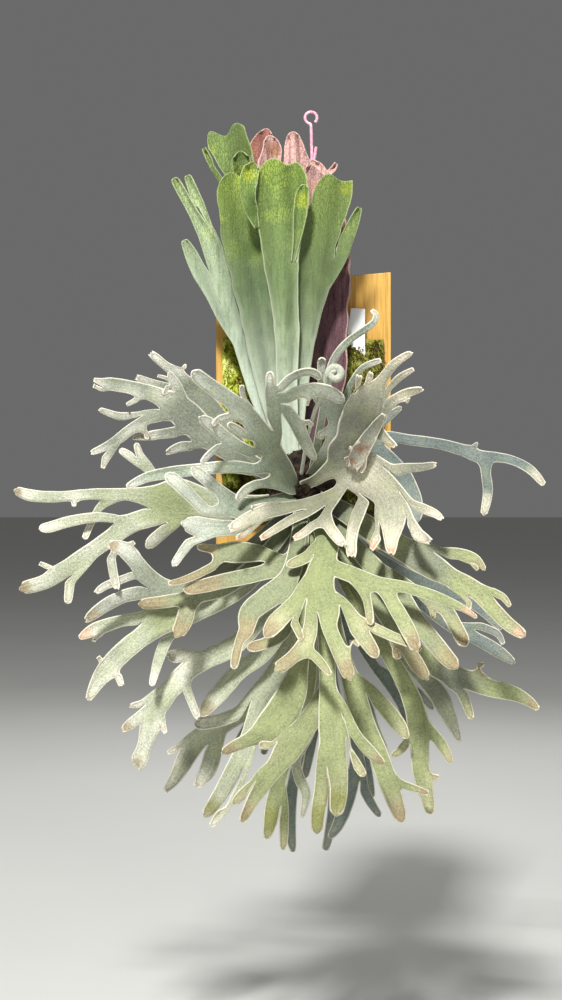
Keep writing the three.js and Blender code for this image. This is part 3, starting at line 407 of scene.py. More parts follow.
    "3r2r": [[286, 399, 11], [300, 392, 13], [316, 390, 14], [331, 393, 13], [341, 400, 10]],
    "3r2r1r": [[308, 401, 4], [307, 405, 3]],
    "3r3r": [[281, 388, 8], [290, 379, 9], [303, 373, 8], [313, 373, 8], [319, 377, 7]],
    "5r": [[243, 398, 6], [242, 387, 5]],
    "5l": [[229, 417, 8], [220, 419, 7], [214, 424, 5]],
    "4l": [[246, 436, 9], [237, 429, 8], [230, 425, 6]],
    "3l": [[253, 453, 12], [240, 447, 12], [224, 436, 13], [210, 424, 13], [202, 419, 9]],
    "3l1l": [[219, 447, 7], [210, 454, 7], [203, 462, 5]],
    "2l": [[254, 470, 12], [236, 467, 13, -2], [203, 469, 12, -14], [170, 473, 12, -30],
      [148, 477, 10, -40], [129, 486, 6, -42]],
    "1l": [[257, 484, 9], [246, 490, 9], [239, 498, 7]],
  },
}

BROWN_SHIELDS = {
  "brown_shield_left": {
    "": [[290, 464, 16], [285, 420, 36], [280, 370, 44], [275, 310, 50], [270, 250, 52],
      [266, 200, 46], [264, 165, 34], [263, 145, 26], [266, 134, 14]],
  },
  "brown_shield_right": {
    "": [[298, 464, 20], [305, 425, 44], [312, 385, 66], [312, 335, 72], [308, 285, 86],
      [304, 235, 92], [300, 195, 80], [297, 165, 30], [294, 146, 19], [293, 136, 11]],
    "6r": [[317, 176, 22], [313, 166, 16]],
    "6r0r": [[327, 174, 6], [333, 169, 4], [336, 164, 2]],
    "6l": [[269, 165, 24], [272, 149, 18], [270, 140, 12]],
  },
}

GREEN_SHIELDS = {
  "shield_back_left": {
    "": [[285, 464, 14], [273, 420, 24], [265, 380, 28], [259, 320, 30], [255, 260, 32],
      [251, 210, 32], [243, 180, 30], [234, 155, 38], [228, 141, 43]],
    "5l": [[212, 167, 5], [208, 157, 4], [204, 149, 2]],
  },
  "shield_left_fingers": {
    "": [[282, 464, 14], [268, 420, 18], [256, 385, 20], [243, 340, 22], [231, 300, 22],
      [217, 262, 20], [206, 236, 15], [194, 214, 9], [184, 196, 8], [175, 180, 6]],
    "5r": [[209, 228, 9], [200, 206, 9], [193, 190, 8], [188, 177, 5]],
    "3l": [[215, 295, 18], [199, 271, 15], [190, 252, 12], [185, 242, 6]],
  },
  "shield_left": {
    "": [[288, 464, 14], [277, 415, 24], [268, 370, 32], [259, 320, 36], [249, 270, 40],
      [240, 235, 38], [236, 215, 34], [233, 196, 32], [232, 183, 30]],
  },
  "shield_right": {
    "": [[296, 464, 14], [293, 415, 24], [297, 370, 28], [303, 325, 32], [310, 285, 40],
      [316, 250, 38], [324, 222, 36], [331, 200, 38], [333, 186, 36]],
    "4r": [[341, 253, 16], [348, 236, 14], [355, 219, 9], [359, 209, 4]],
  },
  "shield_front": {
    "": [[292, 464, 14], [288, 420, 20], [287, 380, 20], [287, 335, 24], [284, 295, 28],
      [281, 258, 36], [281, 222, 46], [281, 195, 52], [281, 168, 52]],
  },
}

PLACED_FRONDS = {
  "centre_crest": {
    "share": 1.11,
    "branches": {
      "": [[301, 487, 10], [316, 480, 11], [331, 470, 20], [352, 467, 44], [371, 480, 36],
        [387, 498, 28], [392, 520, 28], [391, 538, 15], [391, 549, 10]],
      "2l": [[357, 442, 46], [362, 420, 44], [369, 400, 32], [380, 383, 13], [394, 364, 9],
        [409, 354, 6]],
      "2l1l": [[360, 392, 10], [359, 379, 7]],
      "2l2l": [[368, 386, 8], [370, 375, 6]],
      "2l1r": [[385, 408, 13], [396, 399, 10], [408, 393, 9], [420, 390, 5]],
      "2l1r1r": [[407, 397, 6], [407, 402, 4]],
      "2l2r": [[389, 388, 6], [399, 378, 7], [412, 370, 4]],
      "2l0r": [[380, 434, 12], [387, 440, 8], [393, 445, 6]],
      "3l": [[392, 471, 14], [408, 468, 10], [422, 467, 8], [433, 465, 6]],
      "4l": [[410, 504, 10], [424, 509, 10], [436, 514, 8], [440, 517, 6]],
      "5l": [[407, 520, 14], [417, 534, 13], [427, 540, 8]],
      "2r": [[337, 493, 14], [323, 499, 13], [302, 504, 11], [284, 508, 13], [264, 512, 15],
        [246, 520, 13], [233, 527, 9]],
      "2r3r": [[260, 506, 6], [253, 507, 4]],
      "2r4l": [[246, 533, 7], [239, 537, 5]],
      "2r1l": [[306, 512, 10], [290, 520, 9], [274, 530, 8], [263, 537, 6]],
      "2r0l": [[325, 514, 12], [329, 526, 12], [337, 537, 11], [341, 542, 9]],
      "2r0l0r": [[313, 525, 9], [303, 533, 8], [296, 537, 6]],
      "3r": [[364, 499, 12], [358, 513, 13], [353, 527, 12], [351, 540, 11], [351, 552, 10]],
      "5r": [[380, 531, 10], [375, 540, 9], [372, 547, 6]],
    },
  },
  "curled": {
    "share": 0.8,
    "branches": {
      "": [[310, 486, 8], [318, 440, 8], [324, 405, 8], [330, 370, 8], [338, 353, 8], [350, 340, 7],
        [366, 329, 7], [375, 321, 6], [376, 314, 5], [373, 311, 4]],
      "2l": [[321, 380, 8], [322, 361, 8]],
    },
  },
}


# ---------- small helpers ----------
ATTRIBUTE_KINDS = {"tint": ("FLOAT_COLOR", "color"), "flow": ("FLOAT_VECTOR", "vector")}


def smooth(low, high, value):
    """0 below low, 1 above high, and an even rise between them."""
    part = min(max((value - low) / (high - low), 0), 1)
    return part * part * (3 - 2 * part)


def blend(first, second, part):
    return tuple(a + (b - a) * part for a, b in zip(first, second))


def between(values, part):
    """The value at a place from 0 to 1 along a row of values."""
    where = part * (len(values) - 1)
    first = min(int(where), len(values) - 2)
    return values[first] + (values[first + 1] - values[first]) * (where - first)


def colour(code):
    """Linear red, green and blue of a six-digit colour code."""
    parts = [int(code[at:at + 2], 16) / 255 for at in (0, 2, 4)]
    return tuple(p / 12.92 if p <= 0.04045 else ((p + 0.055) / 1.055) ** 2.4 for p in parts)


def place(u, v, depth):
    """Where a pixel of the photograph lies at a depth in front of the wall, in metres."""
    scale = SCALE_AT_WALL * (1 - depth / CAMERA_DISTANCE)
    x = CENTRE_X + (u - PHOTO_CENTRE[0]) * scale
    z = CENTRE_Z + (PHOTO_CENTRE[1] - v) * scale
    return Vector((x, -depth, z)) * MM


def away_from_bud(u, v):
    """How far a pixel lies from the middle of the bud, in pixels."""
    return math.dist((u, v), (RHIZOME["u"], RHIZOME["v"]))


def past_bud(u, v):
    """0 at the bud, 1 where a frond has left it and may wave."""
    return min(away_from_bud(u, v) / WAVE["start"], 1)


def pick(*pieces):
    """Selects these objects alone, with the first one active."""
    bpy.ops.object.select_all(action="DESELECT")
    for piece in pieces:
        piece.select_set(True)
    bpy.context.view_layer.objects.active = pieces[0]


def apply_modifier(piece, kind, **settings):
    pick(piece)
    modifier = piece.modifiers.new(kind, kind)
    for name, value in settings.items():
        setattr(modifier, name, value)
    bpy.ops.object.modifier_apply(modifier=modifier.name)


def primitive(name, add, **settings):
    """A new primitive of Blender's, under its own name, with its place in its mesh."""
    bpy.ops.object.select_all(action="DESELECT")
    add(**settings)
    piece = bpy.context.object
    piece.name = piece.data.name = name
    bpy.ops.object.transform_apply(location=True, rotation=True, scale=True)
    return piece


def mesh_object(name, points, faces):
    mesh = bpy.data.meshes.new(name)
    mesh.from_pydata(points, [], faces)
    piece = bpy.data.objects.new(name, mesh)
    bpy.context.scene.collection.objects.link(piece)
    return piece


def add_leaves(body, name, leaves, faces):
    """Joins to a body many small closed leaves whose corners make the same faces."""
    size = len(leaves[0])
    points = [corner for leaf in leaves for corner in leaf]
    faces = [[start + at for at in face] for start in range(0, len(points), size) for face in faces]
    pick(body, mesh_object(name, points, faces))
    bpy.ops.object.join()


def keep_values(piece, values_of):
    """What a finish reads at each point: a number, a tint or a place along the blade."""
    for name, values in values_of.items():
        kind, field = ATTRIBUTE_KINDS.get(name, ("FLOAT", "value"))
        if name == "tint":
            values = [(*value, 1) for value in values]
        if field != "value":
            values = [part for value in values for part in value]
        piece.data.attributes.new(name, kind, "POINT").data.foreach_set(field, values)


def settle(piece, finish, slot, *nodes):
    """The finish of a piece, what it rides on and the solids that it stands for."""
    piece.data.materials.clear()
    piece.data.materials.append(finish.material)
    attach(piece, "root")
    if nodes:
        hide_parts(*nodes)


# ---------- finishes ----------
class Value:
    """A number that varies over a surface. Sums with it add Math nodes."""

    def __init__(self, finish, socket):
        self.finish = finish
        self.socket = socket

    def sum(self, operation, first, second=0.0):
        return self.finish.node("ShaderNodeMath", {"operation": operation}, {0: first, 1: second})

    def __add__(self, other):
        return self.sum("ADD", self, other)

    def __sub__(self, other):
        return self.sum("SUBTRACT", self, other)

    def __rsub__(self, other):
        return self.sum("SUBTRACT", other, self)

    def __mul__(self, other):
        return self.sum("MULTIPLY", self, other)

    __radd__ = __add__
    __rmul__ = __mul__

    def over(self, low, high):
        """0 where it is below low, 1 where it is above high, smooth between."""
        settings = {"interpolation_type": "SMOOTHSTEP"}
        return self.finish.node("ShaderNodeMapRange", settings, {0: self, 1: low, 2: high})


class Finish:
    """A material, its shader, and the one way to put any other node into it."""

    def __init__(self, name, gloss, varying, fixed=()):
        self.material = bpy.data.materials.new(name)
        self.material.use_nodes = True
        self.tree = self.material.node_tree
        self.shader = self.tree.nodes["Principled BSDF"]
        self.place = self.node("ShaderNodeTexCoord", output="Object")
        for socket, value in {"Specular IOR Level": gloss, **dict(fixed)}.items():
            self.shader.inputs[socket].default_value = value
        for socket, value in varying(self).items():
            self.tree.links.new(value.socket, self.shader.inputs[socket])

    def node(self, kind, settings=None, sockets=None, output=0):
        made = self.tree.nodes.new(kind)
        for name, value in (settings or {}).items():
            if name == "stops":
                self.stops(made.color_ramp.elements, value)
            else:
                setattr(made, name, value)
        for name, value in (sockets or {}).items():
            if isinstance(value, Value):
                self.tree.links.new(value.socket, made.inputs[name])
            else:
                made.inputs[name].default_value = value
        return Value(self, made.outputs[output])

    @staticmethod
    def stops(elements, stops):
        while len(elements) < len(stops):
            elements.new(1.0)
        for element, (position, code) in zip(elements, stops):
            element.position = position
            element.color = (*colour(code), 1)

    def attribute(self, name, output="Fac"):
        return self.node("ShaderNodeAttribute", {"attribute_name": name}, output=output)

    def grain(self, scale, detail=3.0, stretch=(1, 1, 1), roughness=0.55, where=None):
        """Cloudy noise with lumps of 1 / scale metres, or of the units of its own places."""
        sockets = {"Vector": where or self.place, "Scale": stretch}
        place = self.node("ShaderNodeMapping", {}, sockets)
        sockets = {"Vector": place, "Scale": scale, "Detail": detail, "Roughness": roughness}
        return self.node("ShaderNodeTexNoise", {}, sockets)

    def cells(self, scale, stretch=(1, 1, 1), wander=0.0025):
        """How near a net of veins is. Their lines wander by so many metres."""
        sockets = {"Vector": self.place, "Scale": 300, "Detail": 2}
        lumps = self.node("ShaderNodeTexNoise", {}, sockets, output=1)
        moved = self.node("ShaderNodeVectorMath", {"operation": "MULTIPLY_ADD"},
                          {0: lumps, 1: (wander, wander, wander), 2: self.place})
        place = self.node("ShaderNodeMapping", {}, {"Vector": moved, "Scale": stretch})
        settings = {"feature": "DISTANCE_TO_EDGE"}
        return self.node("ShaderNodeTexVoronoi", settings, {"Vector": place, "Scale": scale})

    def mix(self, part, first, second, blend_type="MIX"):
        settings = {"data_type": "RGBA", "blend_type": blend_type}
        first, second = ((*colour(c), 1) if isinstance(c, str) else c for c in (first, second))
        return self.node("ShaderNodeMix", settings, {0: part, 6: first, 7: second}, output=2)

    def dim(self, tone, amount):
        """A colour made lighter or darker by a number about 1."""
        grey = self.node("ShaderNodeCombineColor", {}, {0: amount, 1: amount, 2: amount})
        return self.mix(1.0, tone, grey, "MULTIPLY")

    def layers(self, tone, *layers):
        """A tone with others laid over it, each by a share from 0 to 1."""
        for share, code in layers:
            tone = self.mix(share, tone, code)
        return tone

    def surface(self, tone, roughness, height, distance, strength):
        """What the shader reads: a tone, a roughness, and relief so many metres high."""
        sockets = {"Height": height, "Distance": distance, "Strength": strength}
        relief = self.node("ShaderNodeBump", {}, sockets)
        return {"Base Color": tone, "Roughness": roughness, "Normal": relief}


def felt_finish(to):
    """Blades under a felt of fine white hairs, with thick pale rims."""
    fine = to.grain(620, 4)
    speck = to.grain(1500, 2)
    cloud = to.grain(70)
    ribs = to.grain(1.0, 3, (0.55, 0.035, 1), 0.6, to.attribute("flow", "Vector"))
    tint = to.attribute("tint", "Color")
    rim = to.attribute("rim")
    band = (1 - (rim + fine * 2).over(2.2, 6.0)) * cloud.over(0.3, 0.62)
    scorch = rim.over(0.7, 1.1) * (1 - rim.over(1.3, 2.4)) * to.attribute("ripe")
    edge = (1 - (rim + fine * 0.5).over(0.4, 1.1)) * (cloud.over(0.25, 0.6) * 0.5 + 0.5)
    tone = to.layers(
        to.dim(tint, fine * 1.1 + speck * 1.1 + cloud * 0.5 + ribs * 0.2 - band * 0.14 - 0.46),
        ((1 - ribs.over(0.36, 0.5)) * 0.16, "6f7a55"), (cloud.over(0.48, 0.68) * 0.25, "9a9f68"),
        (scorch * 0.42, "8a6448"), (edge * 0.66, "efe9d6"))
    return to.surface(tone, fine * 0.2 + 0.68, fine + speck * 0.6 + ribs * 0.8, 0.0007, 0.8)


def shield_finish(to):
    """Green shield fronds: a dark net of veins at the top, grey-green felt lower down."""
    tint = to.attribute("tint", "Color")
    height = to.attribute("height")
    rim = to.attribute("rim")
    fine = to.grain(700)
    cloud = to.grain(60)
    streak = to.grain(330, 3, (1, 1, 0.1))
    bend = to.grain(90, 2, (1, 1, 0.5))
    net = to.cells(560, (1, 0.5, 0.36))
    spread = height.over(0.35, 0.9) * (cloud.over(0.25, 0.6) * 0.7 + 0.3)
    veins = (1 - (net + fine * 0.1).over(0.05, 0.2)) * spread
    lines = (1 - streak.over(0.34, 0.5)) * (height.over(0.1, 0.5) * 0.6 + 0.2)
    felt = (1 - height.over(0.15, 0.75)) * (1 - (rim + bend * 3).over(2.0, 6.5))
    edge = 1 - (rim + fine * 0.4).over(0.3, 0.8)
    tone = to.layers(
        to.dim(tint, fine * 0.5 + cloud * 0.7 + 0.4),
        (cloud.over(0.5, 0.7) * height.over(0.45, 0.9) * 0.4, "a9b83e"), (veins * 0.62, "33491c"),
        (lines * 0.5, "49602f"), (felt * 0.4, "ccd3c2"), (edge * 0.38, "c4cea0"))
    return to.surface(tone, fine * 0.2 + 0.5, veins * -0.5 - lines * 0.4 + fine * 0.2, 0.0007, 0.7)


def dried_finish(to):
    """Dead shield fronds: papery, mauve-brown, with darker veins and pale torn edges."""
    fine = to.grain(620, 4)
    cloud = to.grain(75)
    streak = to.grain(260, 4, (1, 1, 0.09), 0.65)
    net = to.cells(430, (1, 0.5, 0.4))
    edge = 1 - (to.attribute("rim") + fine * 0.5).over(0.5, 1.4)
    tone = to.layers(
        to.dim(to.attribute("tint", "Color"), fine * 0.4 + cloud * 0.4 + 0.55),
        ((1 - streak.over(0.36, 0.56)) * 0.55, "3a262a"),
        ((1 - net.over(0.02, 0.12)) * 0.3, "54343a"),
        (cloud.over(0.52, 0.7) * 0.25, "a0703f"), (edge * 0.6, "d9b7ab"))
    height = streak + net.over(0.0, 0.15) * 0.25 + fine * 0.4
    return to.surface(tone, fine * 0.2 + 0.62, height, 0.0012, 0.8)


def pine_finish(to):
    """Golden pine: growth rings round a heart behind the board, fine fibres and rough patches."""
    heart = {"Vector": to.place, "Location": (0.055, -0.012, 0), "Scale": (1, 2.4, 0.035)}
    rings = to.node(
        "ShaderNodeTexWave", {"wave_type": "RINGS", "rings_direction": "Z", "wave_profile": "SAW"},
        {"Vector": to.node("ShaderNodeMapping", {}, heart), "Scale": 38, "Distortion": 2.2,
         "Detail": 3, "Detail Scale": 0.8})
    fibre = to.grain(900, 4, (1, 1, 0.03), 0.6)
    patch = to.grain(30, 4)
    tone = to.layers(
        to.mix(rings, "d2a44c", "bf8c39"),
        (fibre.over(0.4, 0.62) * 0.35, "e6c27a"), ((1 - fibre.over(0.33, 0.42)) * 0.4, "8d5a1e"),
        (patch.over(0.5, 0.72) * 0.35, "b57f3a"))
    return to.surface(tone, fibre * 0.25 + 0.5, fibre * 0.7 + rings * 0.4, 0.0006, 0.6)


def moss_finish(to):
    """Living yellow-green moss with brown, dying patches and dark pits, browner towards its right
    side, with painted shade low down.
    """
    patch = to.grain(70, 4)
    fine = to.grain(650, 4)
    across, up = (to.node("ShaderNodeSeparateXYZ", {}, {0: to.place}, output=at) for at in (0, 2))
    mottle = {0: patch * 0.95 + fine * 0.3 - 0.1}
    tone = to.node("ShaderNodeValToRGB", {"stops": MOSS_STOPS}, mottle)
    tone = to.mix(across.over(0.015, 0.045) * (patch * 0.7 + 0.3), tone, "5f5233")
    # Painted shade: the moss grows darker towards the bottom of the pad, deep in the plant's
    # shadow.
    tone = to.dim(tone, (fine * 1.1 + 0.45) * (up.over(-0.07, -0.015) * 0.7 + 0.3))
    return to.surface(tone, fine * 0.1 + 0.85, fine, 0.0015, 0.9)


def rhizome_finish(to):
    """Papery brown scales over a dark bud, both darkened nearly to black: partly their own colour,
    partly painted shade deep among the fronds.
    """
    fine = to.grain(500, 4)
    streak = to.grain(220, 4, (1, 0.25, 1))
    tone = to.dim(to.mix(streak.over(0.35, 0.65), "120c08", "35271b"), fine * 0.8 + 0.6)
    return to.surface(tone, fine * 0.1 + 0.8, fine, 0.0012, 0.8)


def wire_finish(to):
    """Soft pink plastic coating, dusty and scuffed."""
    dust = to.grain(420, 4)
    scuff = to.grain(1600, 2, (1, 1, 0.2))
    tone = to.mix(dust.over(0.45, 0.7), "dc9db1", "f0cfd8")
    tone = to.mix(scuff.over(0.6, 0.75) * 0.25, tone, "b4768c")
    return to.surface(tone, dust * 0.3 + 0.25, scuff, 0.0002, 0.5)


def tag_finish(to):
    """White plastic, a little chalky, with soil in its pores."""
    dust = to.grain(120, 5)
    pores = to.grain(1800, 2)
    tone = to.mix(dust.over(0.6, 0.85) * 0.4, "fafaf7", "d6d0be")
    tone = to.mix((1 - pores.over(0.3, 0.42)) * 0.3, tone, "b7b09c")
    return to.surface(tone, pores * 0.2 + 0.35, pores, 0.0002, 0.4)


def floor_finish(to):
    """A pale painted studio floor, hardly marked."""
    cloud = to.grain(3, 4)
    return {"Base Color": to.mix(cloud, "c6c6c2", "cfcfca"), "Roughness": cloud * 0.1 + 0.7}


MOSS_STOPS = [(0.3, "3a2f14"), (0.4, "80703a"), (0.48, "a0a63a"), (0.58, "c0ca4c"),
              (0.7, "eaec96")]
HAIRS = {"Sheen Weight": 0.2, "Sheen Roughness": 0.45, "Sheen Tint": (0.95, 1.0, 0.93, 1.0)}

felt = Finish("felted_frond", 0.25, felt_finish, HAIRS)
green = Finish("green_shield", 0.35, shield_finish)
dried = Finish("dried_shield", 0.25, dried_finish)
pine = Finish("sawn_pine", 0.35, pine_finish)
moss = Finish("sphagnum_moss", 0.1, moss_finish)
bark = Finish("rhizome_scales", 0.2, rhizome_finish)
pink = Finish("coated_wire", 0.5, wire_finish)
white = Finish("white_tag", 0.45, tag_finish)
paint = Finish("floor_paint", 0.5, floor_finish)


# ---------- a frond's sheet: rows of points across each branch, joined where they fork ----------
def spline(stations, where):
    """The station and its slope at a place between stations, on a centripetal curve."""
    span = min(int(where), len(stations) - 2)
    part = where - span
    first, second = stations[span], stations[span + 1]
    before = stations[span - 1] if span else [2 * a - b for a, b in zip(first, second)]
    beyond = span + 2 < len(stations)
    after = stations[span + 2] if beyond else [2 * b - a for a, b in zip(first, second)]
    pairs = ((before, first), (first, second), (second, after))
    k0, k1, k2 = (math.sqrt(max(math.dist(p[:2], q[:2]), 0.01)) for p, q in pairs)
    values, slopes = [], []
    for a, b, c, d in zip(before, first, second, after):
        start = ((b - a) / k0 - (c - a) / (k0 + k1) + (c - b) / k1) * k1
        end = ((c - b) / k1 - (d - b) / (k1 + k2) + (d - c) / k2) * k1
        square = 3 * (c - b) - 2 * start - end
        cube = 2 * (b - c) + start + end
        values.append(b + start * part + square * part**2 + cube * part**3)
        slopes.append(start + 2 * square * part + 3 * cube * part**2)
    return values, slopes


class Sheet:
    """One frond's sheet in photograph pixels. Each point also knows its lift towards the viewer."""

    def __init__(self, columns, seed, curl, twist, ragged=False):
        self.columns = columns
        self.dice = random.Random(seed)
        self.shift = self.dice.uniform(0, 100)
        self.curl = curl
        self.twist = twist
        self.ragged = ragged
        self.points = []
        self.quads = []
        self.ends = []

    def add(self, u, v, forward, lift, cup, across, along):
        self.points.append((u, v, forward, lift, cup, across, along))
        return len(self.points) - 1

    def end_shape(self, width):
        if self.ragged and width > RAGGED_FROM_PX:
            return self.dice.choice(RAGGED_ENDS)
        return ROUND_END

    def branch(self, axis, is_main, lobes):
        """Rows of points along a branch, and how it bends and twists on the way."""
        stations = [[*station, 0][:4] for station in axis]
        last, before = stations[-1], stations[-2]
        reach = TIP_LENGTH * last[2] / math.dist(last[:2], before[:2])
        tip = [last[at] + (last[at] - before[at]) * reach for at in (0, 1)]
        shape = lobes or self.end_shape(last[2])
        if not lobes:
            stations.append([*tip, last[2] * TIP_WIDTH, last[3]])
        self.ends.append((last[0], last[1], last[2]))
        twist = self.dice.uniform(-self.twist, self.twist)
        curl = self.dice.uniform(*CURL_DRAW) * self.curl
        cup = self.dice.uniform(*CUP_DRAW)
        spans = len(stations) - 1
        total = spans * self.columns
        rows = []
        along = self.dice.uniform(0, 400)
        for step in range(total + 1):
            where = step / self.columns
            (u, v, width, forward), (du, dv, *_) = spline(stations, where)
            along += math.hypot(du, dv) / self.columns
            size = math.hypot(du, dv)
            du, dv = du / size, dv / size
            done = step / total
            ramp = smooth(0.25, 1, done) if is_main else smooth(0, 0.8, done)
            spot = Vector((u / EDGE_WOBBLE["size"], v / EDGE_WOBBLE["size"], self.shift))
            wobble = 1 + EDGE_WOBBLE["share"] * noise.noise(spot)
            half = max(width, 1) * wobble / 2 + SPREAD_PX / 2
            if lobes:
                grown = smooth(total - 2 * self.columns, total, step)
            else:
                grown = max(where - spans + 1, 0)
            row = []
            for column in range(self.columns + 1):
                across = 2 * column / self.columns - 1
                out = between(shape, column / self.columns) * grown * last[2]
                bend = twist * across * half + cup * half * (1 - across**2)
                lift = ramp * bend + curl * ramp**3
                inward = 1 - (1 if is_main else smooth(0, 0.5, done)) * (1 - across**2)
                row.append(self.add(u - dv * half * across + du * out,
                                    v + du * half * across + dv * out,
                                    forward, lift, inward, half * across, along))
            rows.append(row)
        return rows

    def push_off(self, base, rows):
        """A branch's first rows may not reach back over the side that it grows from."""
        start, end = self.points[base[0]], self.points[base[-1]]
        size = math.dist(start[:2], end[:2])
        out_u, out_v = (end[1] - start[1]) / size, (start[0] - end[0]) / size
        for step, row in enumerate(rows):
            for at in row:
                u, v, *rest = self.points[at]
                beyond = (u - start[0]) * out_u + (v - start[1]) * out_v
                push = max(FORK_CLEARANCE_PX * min(0.4 + 0.3 * step, 1) - beyond, 0)
                self.points[at] = (u + out_u * push, v + out_v * push, *rest)

    def web(self, base, row, part):
        """Points in the web between a branch's base on its parent and its first row."""
        lower = [self.points[at] for at in base]
        upper = [self.points[at] for at in row]
        low_middle, high_middle = ([sum(p[at] for p in side) / len(side) for at in (0, 1)]
                                   for side in (lower, upper))
        flare = (1 - part) ** 3
        made = []
        for p, q in zip(lower, upper):
            u, v = (low_middle[at] * (1 - part) + high_middle[at] * part
                    + flare * (p[at] - low_middle[at]) + (1 - flare) * (q[at] - high_middle[at])
                    for at in (0, 1))
            made.append(self.add(u, v, *blend(p[2:], q[2:], part)))
        return made

    def grow(self, branches, lobes=None):
        """Adds branches, each joined to the side of the one that its name leads to."""
        grown = {}
        for name in sorted(branches, key=len):
            rows = self.branch(branches[name], name == "", None if name else lobes)
            grown[name] = rows
            if name:
                digits = name[:-1]
                cut = max(digits.rfind("l"), digits.rfind("r")) + 1
                parent = grown[name[:cut]]
                first = int(digits[cut:]) * self.columns
                column = 0 if name[-1] == "l" else self.columns
                base = [parent[first + step][column] for step in range(self.columns + 1)]
                if name[-1] == "r":
                    base.reverse()
                webs = [self.web(base, rows[0], part) for part in WEB_ROWS]
                self.push_off(base, [*webs, *rows[:self.columns + 1]])
                rows = [base, *webs, *rows]
            for here, there in zip(rows, rows[1:]):
                for a, b, c, d in zip(here, here[1:], there[1:], there):
                    self.quads.append((a, b, c, d))
        return self

    def rims(self):
        """How far each point is from the sheet's edge, in mm."""
        edges = {}
        for quad in self.quads:
            for a, b in zip(quad, quad[1:] + quad[:1]):
                edges[frozenset((a, b))] = edges.get(frozenset((a, b)), 0) + 1
        border = sorted({point for edge, times in edges.items() if times == 1 for point in edge})
        tree = KDTree(len(border))
        for at, point in enumerate(border):
            tree.insert((*self.points[point][:2], 0), at)
        tree.balance()
        return [tree.find((u, v, 0))[2] * SCALE_AT_BOARD for u, v, *_ in self.points]

    def flow(self):
        """How far each point is across its finger and along it, in mm."""
        return [(across * SCALE_AT_BOARD, along * SCALE_AT_BOARD, 0)
                for *_, across, along in self.points]

    def tips(self):
        """1 at the ends of the fingers, falling to 0 about three widths back."""
        close = []
        for u, v, *_ in self.points:
            nearest = min(math.dist((u, v), end[:2]) / (5 + end[2]) for end in self.ends)
            close.append(1 - smooth(0.1, 2.4, nearest))
        return close


def bezier(ends, part):
    root, middle, tip = ends
    return root * (1 - part) ** 2 + 2 * middle * part * (1 - part) + tip * part**2


def fertile_depth(share, u, v):
    """How far from the wall a fertile frond lies, for a share from 0, rear, to 1, front."""
    part = min(away_from_bud(u, v) / REACH_PX, 1)
    ripple = math.sin(u / WAVE["across"]) * math.sin(v / WAVE["along"])
    wave = WAVE["height"] * ripple * past_bud(u, v)
    return bezier(REAR_FROND, part) + share * bezier(FRONT_FROND, part) + wave


def shield_depth(layer, rise, cup):
    foot = SHIELD_FOOT["depth"] + SHIELD_FOOT["spacing"] * layer
    top = SHIELD_TOP["depth"] + SHIELD_TOP["spacing"] * layer
    return foot + (top - foot) * rise + SHIELD_CUP * cup * rise


def sheet_object(name, sheet, depths, thickness, values_of):
    """The sheet as a closed blade with a soft edge, its values kept on its points."""
    points = [place(u, v, depth) for (u, v, *_), depth in zip(sheet.points, depths)]
    piece = mesh_object(name, points, sheet.quads)
    keep_values(piece, values_of)
    thickness *= MM
    apply_modifier(piece, "SOLIDIFY", thickness=thickness, offset=-1, use_even_offset=False)
    apply_modifier(piece, "SUBSURF", levels=1, render_levels=1)
    piece.data.shade_smooth()
    return piece


# ---------- colours of the fronds ----------
# A frond's felt tone; its darker tone, laid in as painted shade towards the bud and in random
# patches; and the tone of its finger ends.
TONES = {
    "mint": ("afb8a5", "69745f", "e4e7d9"),
    "ivory": ("bbb9a2", "73745f", "ece4cf"),
    "lime": ("a4ab7c", "606947", "c1bd99"),
    "sage": ("999f7d", "5a634a", "b3ac8a"),
    "pale": ("bfc4a9", "757c61", "eeecdc"),
    "ash": ("999e8b", "60665a", "deded1"),
    # painted shade: a darker, bluer copy of the felt for the fronds that lie in shadow behind
    # others
    "painted_shade_slate": ("7e8883", "4b5651", "9aa29a"),
}
# Of these spot colours, the dark grey-green 7f8374 is painted shade where a frond lies in shadow,
# and the dark green 4c6128 is painted shade in the shields' hollows.
SPOT_COLOURS = {
    "tan": "a39473", "peach": "dfb79b", "grey": "686b5f", "rust": "7c4429", "cream": "ddd8c0",
    "olive": "8d9568", "painted_shade": "7f8374", "moss": "8f9150", "painted_hollow_shade": "4c6128", "gold": "9aa636",
    "russet": "b07a55", "mauve": "8a6468", "rose": "d9a79c",
}
# A spot is whole out to the first share of its radius and gone at the second.
SPOT_EDGE = (0.35, 1.25)
SPOT_SHARE = 0.85
